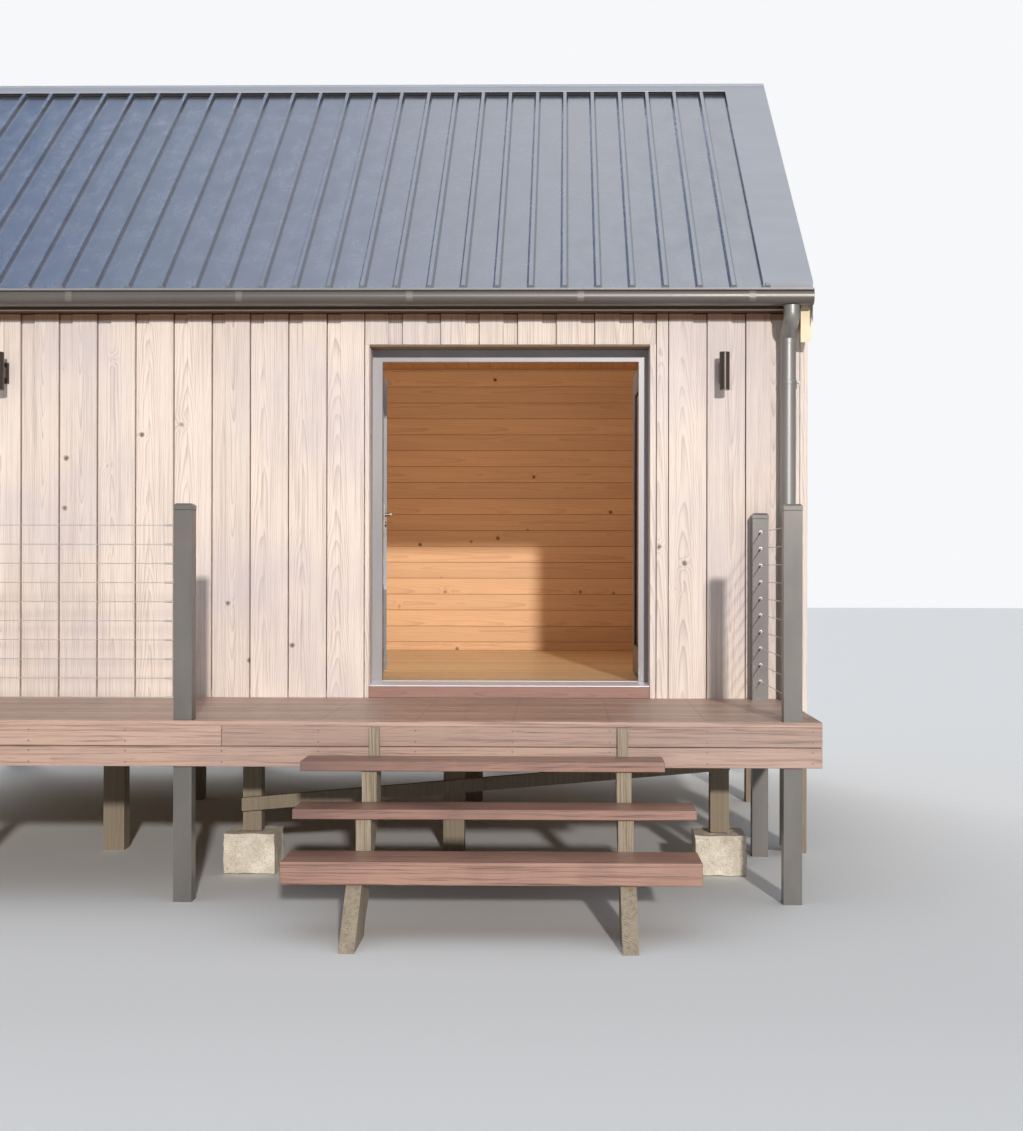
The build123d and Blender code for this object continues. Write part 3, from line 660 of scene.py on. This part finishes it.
# Cores of the walls, between cladding and lining
outer_front = front + board_thick
outer_back = back - board_thick
lined_front = inner_front - lining_thick
lined_back = inner_back + lining_thick
core_top = 3.21
edge_x = half - board_thick
reveal_left = door_left - reveal_thick
reveal_right = door_right + reveal_thick
pocket_left = door_left - frame_pocket
pocket_right = door_right + frame_pocket
for name, spans in {
    "core_front_left": [
        ((-edge_x, outer_front, floor_low.z), (reveal_left, frame_front, core_top)),
        ((-edge_x, frame_front, floor_low.z), (pocket_left, lined_front, core_top)),
    ],
    "core_front_right": [
        ((reveal_right, outer_front, floor_low.z), (edge_x, frame_front, core_top)),
        ((pocket_right, frame_front, floor_low.z), (edge_x, lined_front, core_top)),
    ],
    "core_header": [((pocket_left, outer_front, head), (pocket_right, lined_front, core_top - hairline))],
    "core_back": [((-edge_x, lined_back, floor_low.z), (edge_x, outer_back, core_top))],
}.items():
    solid(name, [slab(low, high) for low, high in spans], dark_gap)

# Boards on the doorway's upright sides, between the cladding and the door frame
reveals = Boards("door_reveals")
for x0, x1 in ((reveal_left, door_left), (door_right, reveal_right)):
    reveals.box((x0, outer_front - 0.002, frame_head - reveal_tall), (x1, frame_front, frame_head), "yxz")
reveals.build(cladding, bevel=0.001, slot="cladding")

# Cores of the gables, up to the sarking
for name, side in (("core_gable_left", -1), ("core_gable_right", 1)):
    body = Boards(name)
    ys = (inner_front - hairline, middle, inner_back + hairline)
    section = [(ys[0], floor_low.z), (ys[2], floor_low.z)]
    section += [(y, roof_height(y, -barge_depth)) for y in reversed(ys)]
    body.level(section, side * (inner_x + lining_thick), side * edge_x, "yzx")
    body.build(dark_gap, bevel=0)


def lining_boards(name, spans, axes):
    """Level boards on the inner faces of the walls."""
    boards = Boards(name)
    for low, high in spans:
        z = floor_top + lining_first
        level = low[2]
        rows = []
        while z < high[2]:
            if z > level:
                rows.append((level, z))
                level = z
            z += lining_pitch
        rows.append((level, high[2]))
        for i, (z0, z1) in enumerate(rows):
            gap = lining_joints[i % 2]
            boards.box((low[0], low[1], z0 + gap), (high[0], high[1], z1 - gap), axes)
    boards.build(lining, bevel=0.0025, slot="lining")


lining_boards("lining_back", [((-inner_x, inner_back, floor_top), (inner_x, lined_back, ceiling))], "zyx")
lining_boards(
    "lining_front",
    [
        ((-inner_x, lined_front, floor_top), (pocket_left, inner_front, ceiling)),
        ((pocket_right, lined_front, floor_top), (inner_x, inner_front, ceiling)),
        ((pocket_left, lined_front, head), (pocket_right, inner_front, ceiling)),
    ],
    "zyx",
)
lining_boards(
    "lining_sides",
    [
        ((-inner_x - lining_thick, inner_front, floor_top), (-inner_x, inner_back, ceiling)),
        ((inner_x, inner_front, floor_top), (inner_x + lining_thick, inner_back, ceiling)),
    ],
    "zxy",
)

ceiling_boards = Boards("ceiling_boards")
edges = board_edges(-inner_x, inner_x, ceiling_pitch)
for start, end in zip(edges, edges[1:]):
    low = (start + ceiling_joint, inner_front, ceiling)
    ceiling_boards.box(low, (end - ceiling_joint, inner_back, ceiling_high.z), "xzy")
ceiling_boards.build(lining, bevel=0.0025, slot="lining", replaces="ceiling")

floor_planks = Boards("floor_planks")
farthest_cut = 1.6
edges = board_edges(inner_front, inner_back, floor_pitch)
for start, end in zip(edges, edges[1:]):
    cut = rng.uniform(-farthest_cut, farthest_cut)
    for x0, x1 in ((-inner_x, cut), (cut, inner_x)):
        low = (x0 + floor_joint, start + floor_joint, floor_low.z)
        floor_planks.box(low, (x1 - floor_joint, end - floor_joint, floor_top), "yzx")
floor_planks.build(floor_wood, bevel=0.001, slot="lining", replaces="floor_boards")

# The balustrade's posts, the stairs and the pipes in plan
post = 0.090
cap_half = 0.046
front_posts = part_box("posts_front")
rear_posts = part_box("posts_rear")
post_x = front_posts[1].x - cap_half
stair_x = half - 1.714
gate_x = stair_x - 1.548
middle_x = (gate_x - post_x) / 2
pipe_x = half - 0.120
front_post_y = (front_posts[0].y + front_posts[1].y) / 2
rear_post_y = (rear_posts[0].y + rear_posts[1].y) / 2
posts = [(x, front_post_y) for x in (-post_x, middle_x, gate_x, post_x)]
posts += [(x, rear_post_y) for x in (-post_x, post_x)]

# Deck boards, cut round the posts and the pipe
slack = 0.004
hole = post / 2 + slack / 2
holes = [(x - hole, x + hole, y - hole, y + hole) for x, y in posts]
pipe_notch_x = pipe_x - 0.051
pipe_notch_y = front - 0.108
holes.append((pipe_notch_x, deck_high.x + 1, pipe_notch_y, front + 1))
deck_count = 15
deck_gap = 0.0045
deck_size = (deck_high.y - deck_low.y + deck_gap) / deck_count


def trace(edge_y, inside, low_x, high_x):
    """The run of an edge from left to right, stepping round the holes that reach it."""
    run = [(low_x, edge_y)]
    for x0, x1, h0, h1 in sorted(holes):
        if x1 <= low_x or x0 >= high_x or not h0 < edge_y < h1:
            continue
        turn = h1 if inside > 0 else h0
        run += [(x0, edge_y), (x0, turn), (min(x1, high_x), turn)]
        if x1 < high_x:
            run.append((x1, edge_y))
    if run[-1][0] < high_x:
        run.append((high_x, edge_y))
    return run


def deck_board(boards, y0, y1):
    """A board in one or more lengths. A hole across nearly all of it cuts it through."""
    spans = [(deck_low.x, deck_high.x)]
    for x0, x1, h0, h1 in sorted(holes):
        if h0 <= y0 + slack and h1 >= y1 - slack:
            last = spans.pop()
            spans.append((last[0], x0))
            if x1 < last[1]:
                spans.append((x1, last[1]))
    for low_x, high_x in spans:
        plan = trace(y0, 1, low_x, high_x) + trace(y1, -1, low_x, high_x)[::-1]
        boards.upright(plan, deck_low.z, deck_high.z, "yzx")


decking = Boards("deck_planks")
rows = []
for i in range(deck_count):
    y0 = deck_low.y + i * deck_size
    rows.append((y0, y0 + deck_size - deck_gap))
    deck_board(decking, *rows[-1])
decking.build(hardwood, bevel=0.002, slot="hardwood", replaces="deck_boards")
closers = Boards("deck_closers")
for x0, x1 in ((deck_low.x, door_left - hairline), (door_right + hairline, pipe_notch_x)):
    low = (x0, deck_high.y + hairline, deck_low.z)
    closers.box(low, (x1, front + sunk + hairline, deck_high.z - hairline), "yzx")
closers.build(hardwood, bevel=0, slot="hardwood")

# Fascia boards, with one butt joint in the upper row
fascia_low, fascia_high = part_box("deck_fascia_front")
side_low, side_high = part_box("deck_fascia_sides")
row_height = 0.098
side_thick = 0.024
butt = 0.0008
joint_x = half - 3.065
top_z = fascia_high.z
low_z = top_z - row_height
fascias = Boards("fascia_front")
for x0, x1, z0 in (
    (fascia_low.x, joint_x - butt, low_z),
    (joint_x + butt, fascia_high.x, low_z),
    (fascia_low.x, fascia_high.x, fascia_low.z),
):
    z1 = top_z if z0 == low_z else z0 + row_height
    fascias.box((x0, fascia_low.y, z0), (x1, fascia_high.y, z1), "zyx")
fascias.build(hardwood, bevel=0.002, slot="hardwood", replaces="deck_fascia_front")
fascia_sides = Boards("fascia_sides")
for x0, x1, y1 in (
    (side_low.x, side_low.x + side_thick, side_high.y),
    (side_high.x - side_thick, side_high.x, pipe_notch_y),
):
    for z0 in (side_low.z, low_z):
        fascia_sides.box((x0, side_low.y, z0), (x1, y1, z0 + row_height), "zxy")
fascia_sides.build(hardwood, bevel=0.002, slot="hardwood", replaces="deck_fascia_sides")

# Screws in the fascia and the deck
screw_radius = 0.0042
proud = 0.0004
from_edge = 0.022
plank_inset = 0.020
joist_pitch = 0.473
last_joist = deck_high.x - 0.0465
joist_xs = [-last_joist] + [joint_x + i * joist_pitch for i in range(-5, 6)] + [last_joist]
screws = []
for x in joist_xs:
    for row_z, far_z in ((top_z, -1), (fascia_low.z, 1)):
        for inset in (from_edge, row_height - from_edge):
            place = (x, fascia_low.y - proud, row_z + far_z * inset)
            screws.append(disc(place, (0, 1, 0), screw_radius, 0.002, 10))
    for y0, y1 in rows:
        for y in (y0 + plank_inset, y1 - plank_inset):
            if not any(h[0] - slack < x < h[1] + slack and h[2] - slack < y < h[3] + slack for h in holes):
                screws.append(disc((x, y, deck_high.z - proud), (0, 0, 1), screw_radius, 0.0016, 8))
solid("deck_screws", screws, hinge_steel, slot="wire")

# Door threshold and its metal sill rails
threshold_low, threshold_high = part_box("door_threshold")
nose_back = front + 0.020
threshold = Boards("threshold_board")
threshold.box((door_left, threshold_low.y, threshold_low.z), (door_right, nose_back, threshold_high.z), "zyx")
threshold.box((door_left, nose_back, floor_low.z), (door_right, inner_front, threshold_high.z), "yzx")
threshold.build(threshold_wood, bevel=0.003, slot="hardwood", replaces="door_threshold")
sill_top = threshold_high.z + 0.018
rail_inset = 0.057
rail_wide = 0.006
rails = []
for y in (frame_front + 0.010, frame_front + 0.034):
    low = (door_left + rail_inset, y, sill_top - 0.001)
    rails.append(slab(low, (door_right - rail_inset, y + rail_wide, sill_top + 0.003)))
solid("sill_rails", rails, sill_paint, bevel=0.001, slot="door_frame")
cover_front = front - 0.0015
sill_cover = Boards("sill_cover")
section = [(cover_front, threshold_high.z + 0.0003), (cover_front, threshold_high.z + 0.0065),
           (frame_front, sill_top + 0.0010), (frame_front, sill_top - 0.0030)]
sill_cover.level(section, door_left, door_right)
sill_cover.build(sill_paint, bevel=0.0005, slot="door_frame")

# Treads from the top one down, and how far out from the deck their noses stand
tops = (0.725, 0.531, 0.348)
thicks = (0.048, 0.046, 0.100)
depths = (0.231, 0.255, 0.300)
fronts = (0.254, 0.484, 0.814)
lengths = (1.720, 1.852, 1.852)
left_end = stair_x - lengths[1] / 2
treads = Boards("tread_boards")
for top, thick, depth, out, length in zip(tops, thicks, depths, fronts, lengths):
    y0 = deck_low.y - out
    treads.box((left_end, y0, top - thick), (left_end + length, y0 + depth, top), "yzx")
treads.build(tread_wood, bevel=0.004, segments=2, slot="hardwood", replaces="step_treads")


def rough_prism(outline, low_x, high_x, amount, seed, cell=0.03):
    """A prism along X with a weathered surface."""
    shape = bmesh.new()
    ends = []
    for x in (low_x, high_x):
        ends.append([shape.verts.new((x, y, z)) for y, z in outline])
    count = len(outline)
    shape.faces.new(ends[0][::-1])
    shape.faces.new(ends[1])
    for i in range(count):
        j = (i + 1) % count
        shape.faces.new((ends[0][i], ends[0][j], ends[1][j], ends[1][i]))
    bmesh.ops.recalc_face_normals(shape, faces=shape.faces)
    bmesh.ops.triangulate(shape, faces=[f for f in shape.faces if len(f.verts) > 4])
    for _ in range(4):
        long_edges = [e for e in shape.edges if e.calc_length() > cell * 1.6]
        if not long_edges:
            break
        bmesh.ops.subdivide_edges(shape, edges=long_edges, cuts=1, use_grid_fill=True)
    shape.normal_update()
    low_z = min(z for _, z in outline)
    for v in shape.verts:
        wave = noise.noise(Vector((v.co.x * 14 + seed, v.co.y * 9, v.co.z * 9)))
        fine = noise.noise(Vector((v.co.x * 60, v.co.y * 38 + seed, v.co.z * 38)))
        v.co -= v.normal * amount * (0.5 + 0.6 * wave + 0.5 * fine)
        v.co.z = max(v.co.z, low_z)
    return shape


# Stringers, notched under the treads, and the cleats that hold them to the deck
stringer_half = 0.036
tread_nose = 0.028
foot_front = deck_low.y - 1.046
foot_back = deck_low.y - 0.703
head_y = deck_low.y - 0.023
stringer_head = 0.543
stringer_out = 0.603
cleat_half = 0.026
cleat_thick = 0.0225
cleat_low = 0.566
cleat_high = 0.862
seats = [top - thick for top, thick in zip(tops, thicks)]
noses = [deck_low.y - out + tread_nose for out in fronts]
side_outline = [(head_y, seats[0]), (noses[0], seats[0])]
for i in (1, 2):
    side_outline += [(noses[i - 1], seats[i]), (noses[i], seats[i])]
side_outline += [(foot_front, 0.0), (foot_back, 0.0), (head_y, stringer_head)]
stringer_xs = (stair_x - stringer_out, stair_x + stringer_out)
timbers = [
    rough_prism(side_outline, x - stringer_half, x + stringer_half, 0.004, i * 7.3)
    for i, x in enumerate(stringer_xs)
]
solid("stringer_timbers", timbers, old_wood, slot="stringer", replaces="stringers")
cleats = [
    slab((x - cleat_half, head_y, cleat_low), (x + cleat_half, head_y + cleat_thick, cleat_high))
    for x in stringer_xs
]
solid("stringer_cleats", cleats, old_wood, bevel=0.002, slot="stringer")

# Concrete pads
pad_low, pad_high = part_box("concrete_pads")
pad_from_end = 0.560
pad_y = (pad_low.y + pad_high.y) / 2
pad_half = (pad_high.y - pad_low.y) / 2
outline = rectangle(pad_y - pad_half, pad_y + pad_half, 0, pad_high.z)
pads = [
    rough_prism(outline, x - pad_half, x + pad_half, 0.012, 20 + i * 3.1, 0.025)
    for i, x in enumerate((pad_from_end - half, stair_x - 1.361, half - pad_from_end))
]
solid("pad_blocks", pads, concrete, slot="concrete", replaces="concrete_pads")

# Gutters: a rolled bead, a groove under it, then one curve down to the flat bottom
gutter_round = 0.044
gutter_metal = 0.003
gutter_wide = eave_low.y - gutter_low.y
gutter_tall = gutter_high.z - gutter_low.z
rear_top = gutter_tall - 0.014
bead = 0.007
bead_skin = 0.0015


def round_run(centre_u, centre_z, radius, first, last, count=9):
    """Points on an arc as (out from the fascia, up from the gutter's bottom)."""
    turns = [math.radians(first + (last - first) * i / (count - 1)) for i in range(count)]
    return [(centre_u + radius * math.cos(a), centre_z + radius * math.sin(a)) for a in turns]


def gutter_curve(inset):
    """The gutter's front from its flat bottom up to the groove under the bead."""
    curve = round_run(gutter_wide - gutter_round, gutter_round, gutter_round - inset, -90, 0, 12)
    for fall, height in ((0.0006, 0.052), (0.0022, 0.060), (0.0046, 0.067), (0.0070, 0.0725)):
        curve.append((gutter_wide - inset - fall, height))
    return curve


bead_run = round_run(gutter_wide - bead, gutter_tall - bead, bead - bead_skin, -100, 170, 10)
outer = [(0.0, rear_top)] + round_run(gutter_round, gutter_round, gutter_round, 180, 270)
outer += gutter_curve(0.0)
inner = gutter_curve(gutter_metal)[::-1]
inner += round_run(gutter_round, gutter_round, gutter_round - gutter_metal, 270, 180)
inner.append((gutter_metal, rear_top))
channel = outer + bead_run + inner
end_plate = outer + bead_run[:7]
bead_bar = round_run(gutter_wide - bead, gutter_tall - bead, bead, 0, 337.5, 16)
groove = rectangle(gutter_wide - 0.0085, gutter_wide - 0.0058, 0.0700, 0.0765)


def at_eave(outline, side):
    """Section points as (y, z) at the front eave, or at the back one for side -1."""
    front_points = [(eave_low.y - u, gutter_low.z + z) for u, z in outline]
    if side > 0:
        return front_points
    return [(2 * middle - y, z) for y, z in front_points]


gutter_pieces = Boards("gutter_channels")
for side in (1, -1):
    gutter_pieces.level(at_eave(channel, side), -half + gutter_metal, half - gutter_metal)
    for x in (-half, half - gutter_metal):
        gutter_pieces.level(at_eave(end_plate, side), x, x + gutter_metal)
gutter_pieces.build(gutter_paint, bevel=0, slot="gutter_steel", replaces="gutters")

# The bead is in a lighter copy of the gutter's paint, a painted highlight; the groove under it is filled with
# black, painted shade under the bead.
for name, outline, made in (("gutter_beads", bead_bar, bead_highlight_paint), ("gutter_groove_shade", groove, black_rubber_and_shade)):
    bars = Boards(name)
    for side in (1, -1):
        bars.level(at_eave(outline, side), -half, half)
    bars.build(made, bevel=0, slot="gutter_steel")

# Straps that hold the gutters, wrapped round the curve up to the groove under the bead
strap_half = 0.018
strap_pitch = 0.961
strap_last = 2.672
strap_count = 6
straps = Boards("gutter_straps")
strap_top = [(min(u, gutter_wide - 0.0001), z) for u, z in gutter_curve(-0.0010)[6:]]
strap_under = gutter_curve(0.0020)[6:]
for x in [strap_last - i * strap_pitch for i in range(strap_count)]:
    for side in (1, -1):
        straps.level(at_eave(strap_top + strap_under[::-1], side), x - strap_half, x + strap_half)
straps.build(strap_paint, bevel=0, slot="gutter_steel")

# Pale lips under the eaves' fascias: a painted highlight along the fascias' lower edges
lip_end = half - 0.060
lip_out = 0.003
lip_tall = 0.007
lips = Boards("fascia_lips")
for y0, y1 in ((eave_low.y - lip_out, eave_low.y), (eave_high.y, eave_high.y + lip_out)):
    lips.box((-lip_end, y0, eave_low.z), (lip_end, y1, eave_low.z + lip_tall), "zyx")
lips.build(lip_highlight_paint, bevel=0.0005, slot="eaves")

# Closers between the roof's ribs, under the ridge cap, in black: painted shade under the cap
rib_count = 30
rib_pitch = 0.1905
rib_half = 0.023
rib_crest = 0.011
rib_first = -14.5 * rib_pitch
closer_overlap = 0.008
cap_reach = 0.105 * math.cos(pitch)


def slope_plate(y0, y1, low, high):
    """A section square to the ground between two levels over the roof's slope."""
    return [(y, roof_height(y, low)) for y in (y0, y1)] + [(y, roof_height(y, high)) for y in (y1, y0)]


ridge_lips = Boards("ridge_lips")
for side in (1, -1):
    y0, y1 = [middle - side * (cap_reach - inset) for inset in (0.012, 0.015)]
    section = slope_plate(y0, y1, 0.008, 0.030)
    for i in range(rib_count - 1):
        x0 = rib_first + i * rib_pitch + rib_half - closer_overlap
        ridge_lips.level(section, x0, x0 + rib_pitch - 2 * rib_half + 2 * closer_overlap)
ridge_lips.build(black_rubber_and_shade, bevel=0, slot="roof_steel")

# Thin plates on the lower ends of the ribs and under the verge flashings
feet = Boards("rib_feet")
plates = Boards("flashing_feet")
down = Vector((0, -math.cos(pitch), -math.sin(pitch)))
off = Vector((0, -math.sin(pitch), math.cos(pitch)))
rib_edge = -rib_first - rib_half
rib_outline = ((-rib_half, 0.004), (-rib_crest, 0.029), (rib_crest, 0.029), (rib_half, 0.004))
for side in (1, -1):
    y0, y1 = [middle - side * (eave_y + out) for out in (0.0012, -0.0010)]
    section = slope_plate(y0, y1, 0.002, 0.0315)
    for x0, x1 in ((-half, -rib_edge), (rib_edge, half)):
        plates.level(section, x0, x1)
    for i in range(rib_count):
        x = rib_first + i * rib_pitch
        ends = []
        for reach in (-0.001, 0.0014):
            loop = []
            for out, level in rib_outline:
                p = Vector((x + out, middle - eave_y, eave_z)) + off * level + down * reach
                loop.append((p.x, p.y if side > 0 else 2 * middle - p.y, p.z))
            ends.append(loop)
        feet.piece(ends[0], ends[1], "zyx")
feet.build(cap_paint, bevel=0, slot="roof_steel")
plates.build(foot_paint, bevel=0, slot="roof_steel")

# Bands round the pipes, their lugs with bolts, and the stays to the wall
pipe_out = 0.057
lug_out = 0.062
bolt_out = 0.058
collar_z = 2.945
collar_radius = 0.0475
band_zs = (2.699, 1.720, 0.620)
band_radius = 0.0470
band_half = 0.013
lug_half = 0.003
stay_half = 0.012
bands = []
bolts = []
for side in (1, -1):
    x = side * pipe_x
    wall_face = front if side > 0 else back
    y = wall_face - side * pipe_out
    bands.append(disc((x, y, collar_z), (0, 0, 1), collar_radius, 0.050, 40))
    for z in band_zs:
        lug_x = x + side * lug_out
        bands.append(disc((x, y, z), (0, 0, 1), band_radius, 2 * band_half, 40))
        low = (lug_x - 0.014, y - lug_half, z - band_half)
        bands.append(slab(low, (lug_x + 0.006, y + lug_half, z + band_half)))
        bolts.append(disc((x + side * bolt_out, y - side * 0.006, z), (0, 1, 0), 0.0055, 0.014, 6))
        near, far = sorted((y, wall_face))
        bands.append(slab((x - stay_half, near, z - 0.010), (x + stay_half, far, z + 0.010)))
solid("pipe_bands", bands, pipe_paint, bevel=0.0015, slot="gutter_steel")
solid("pipe_bolts", bolts, hinge_steel, slot="wire")

# Lenses in both ends of the wall lamps
lamp_y = front - 0.110
lamp_z = 2.760
lamp_half = 0.1055
lens_radius = 0.0262
lenses = [
    disc((x, lamp_y, z), (0, 0, 1), lens_radius, 0.002, 32)
    for x in (half - 0.487, half - 4.633)
    for z in (lamp_z + lamp_half, lamp_z - lamp_half)
]
solid("lamp_lenses", lenses, lens_glass, slot="lamp")

# Seams under the post caps, and washers where the wires meet the posts
post_top = front_posts[1].z
seam_low = post_top - 0.0325
seam_high = post_top - 0.0305
seam_half = post / 2 + 0.0006
seams = [
    slab((x - seam_half, y - seam_half, seam_low), (x + seam_half, y + seam_half, seam_high))
    for x, y in posts
]
solid("cap_seams", seams, black_rubber_and_shade, slot="posts")

wire_count = 10
wire_low = 0.998
wire_span = 0.847
washer_radius = 0.0085
washer_thick = 0.004
washers = []
for i in range(wire_count):
    z = wire_low + i * wire_span / (wire_count - 1)
    for x in (-post_x + post / 2, middle_x - post / 2, middle_x + post / 2, gate_x - post / 2):
        washers.append(disc((x, front_post_y, z), (1, 0, 0), washer_radius, washer_thick))
    for x in (-post_x, post_x):
        for y in (front_post_y + post / 2, rear_post_y - post / 2):
            washers.append(disc((x, y, z), (0, 1, 0), washer_radius, washer_thick))
solid("wire_washers", washers, steel, slot="wire")

# Glazing beads and seals of the leaves, placed closed and then swung with their leaf
leaf_x = door_left - 0.017
leaf_width = 0.819
stile = 0.118
glass_low = 1.141
glass_high = 2.739
pin_x = leaf_x - 0.0025
pin_y = inner_front + 0.012
mirror_x = door_left + door_right


def bead_ring(width, inset, low_y, high_y):
    """Four bars round the glass of a closed left leaf."""
    x0 = leaf_x + stile + inset
    x1 = leaf_x + leaf_width - stile - inset
    z0 = glass_low + inset
    z1 = glass_high - inset
    return [
        slab((x0, low_y, z0), (x1, high_y, z0 + width)),
        slab((x0, low_y, z1 - width), (x1, high_y, z1)),
        slab((x0, low_y, z0 + width), (x0 + width, high_y, z1 - width)),
        slab((x1 - width, low_y, z0 + width), (x1, high_y, z1 - width)),
    ]


mirrored = Matrix.Translation((mirror_x, 0, 0)) @ Matrix.Scale(-1, 4, (1, 0, 0))
for body, side, angle in (("left_leaf", 1, 95), ("right_leaf", -1, -89)):
    pin = Vector((pin_x if side > 0 else mirror_x - pin_x, pin_y, 0))
    swing = Matrix.Translation(pin) @ Matrix.Rotation(math.radians(angle), 4, "Z") @ Matrix.Translation(-pin)
    for name, width, inset, faces_y, made in (
        ("glazing_beads_", 0.014, 0.0, ((-0.0425, -0.034), (-0.010, -0.0015)), leaf_paint),
        ("glazing_seals_", 0.004, 0.014, ((-0.0375, -0.034), (-0.010, -0.0065)), black_rubber_and_shade),
    ):
        shapes = []
        for low_y, high_y in faces_y:
            shapes += bead_ring(width, inset, inner_front + low_y, inner_front + high_y)
        for shape in shapes:
            if side < 0:
                bmesh.ops.transform(shape, matrix=mirrored, verts=shape.verts)
                bmesh.ops.reverse_faces(shape, faces=shape.faces)
            bmesh.ops.transform(shape, matrix=swing, verts=shape.verts)
        solid(name + body, shapes, made, bevel=0.001, slot="door_frame", body=body)

# Floor of the stage
floor = bpy.data.objects.new("floor", bpy.data.meshes.new("floor"))
plane = bmesh.new()
bmesh.ops.create_grid(plane, x_segments=1, y_segments=1, size=60)
plane.to_mesh(floor.data)
plane.free()
scene.collection.objects.link(floor)
floor_paint, tree, shader = material("studio_floor")
feed(shader, {"Base Color": (0.78, 0.78, 0.77, 1), "Roughness": 0.9})
floor.data.materials.append(floor_paint)

# World: soft light, a sky that only glossy surfaces show, and a plain pale background
world = bpy.data.worlds.new("studio")
scene.world = world
world.use_nodes = True
tree = world.node_tree
tree.nodes.clear()
paths = add(tree, "LightPath")
towards = add(tree, "TexCoord").outputs["Generated"]
sky_axes = add(tree, "SeparateXYZ", {0: towards}).outputs
drift = cloud(towards, scale=7.0, detail=3)
across = plus(spread(sky_axes[0], -0.42, 0.16), sway(drift, 1.3), clamp=True)
sky = blend(across, (0.18, 0.30, 0.53), (1.22, 1.18, 1.12))
soft = blend(spread(sky_axes[2], 0.10, 0.75), (0.25, 0.25, 0.26), (0.56, 0.60, 0.66))
glossy = blend(spread(sky_axes[2], 0.54, 0.78), (0.098, 0.096, 0.092), sky)
studio = blend(paths.outputs["Is Glossy Ray"], soft, glossy)
seen = calc("MAXIMUM", paths.outputs["Is Camera Ray"], paths.outputs["Is Transmission Ray"])
lit = add(tree, "Background", {"Color": studio, "Strength": 1.0})
shown = add(tree, "Background", {"Color": (0.93, 0.94, 0.95, 1), "Strength": 1.0})
mixed = add(tree, "MixShader", {0: seen, 1: lit.outputs[0], 2: shown.outputs[0]})
add(tree, "OutputWorld", {0: mixed.outputs[0]})


def lamp(name, kind, energy, tint, direction, **settings):
    """A lamp that shines along direction."""
    light = bpy.data.lights.new(name, kind)
    light.energy = energy
    light.color = tint
    for key, value in settings.items():
        setattr(light, key, value)
    holder = bpy.data.objects.new(name, light)
    holder.rotation_euler = Vector(direction).to_track_quat("-Z", "Y").to_euler()
    scene.collection.objects.link(holder)
    return holder


lamp("key", "SUN", 2.6, (1.0, 0.96, 0.91), (-0.17, 1.0, -0.27), angle=math.radians(2))
lamp("rim", "SUN", 1.1, (0.92, 0.96, 1.0), (0.35, -1.0, -0.60), angle=math.radians(30))

# Lamps in the room that neither the camera nor the glass shows
high_place = (0.6, inner_front + 0.5, ceiling - 0.06)
low_place = (0.6, inner_front + 0.9, floor_top + 0.5)
for name, energy, tint, place, direction, width, depth in (
    ("room", 40, (1.0, 0.95, 0.88), high_place, (0, 0.75, -0.66), 3.6, 0.5),
    ("ceiling_wash", 22, (1.0, 0.94, 0.86), low_place, (0, 0.35, 0.94), 1.2, 1.2),
):
    holder = lamp(name, "AREA", energy, tint, direction, shape="RECTANGLE", size=width, size_y=depth)
    holder.location = place
    holder.visible_camera = False
    holder.visible_glossy = False
    holder.visible_transmission = False

# Camera at the photograph's viewing angle
lens = bpy.data.cameras.new("camera")
lens.lens = 52.5
lens.sensor_width = 36
lens.shift_x = -0.0236
camera = bpy.data.objects.new("camera", lens)
camera.location = (1.625, -10.517, 1.633)
camera.rotation_euler = (math.radians(90.12), math.radians(-0.1), math.radians(0.93))
scene.collection.objects.link(camera)
scene.camera = camera
scene.view_settings.view_transform = "Standard"
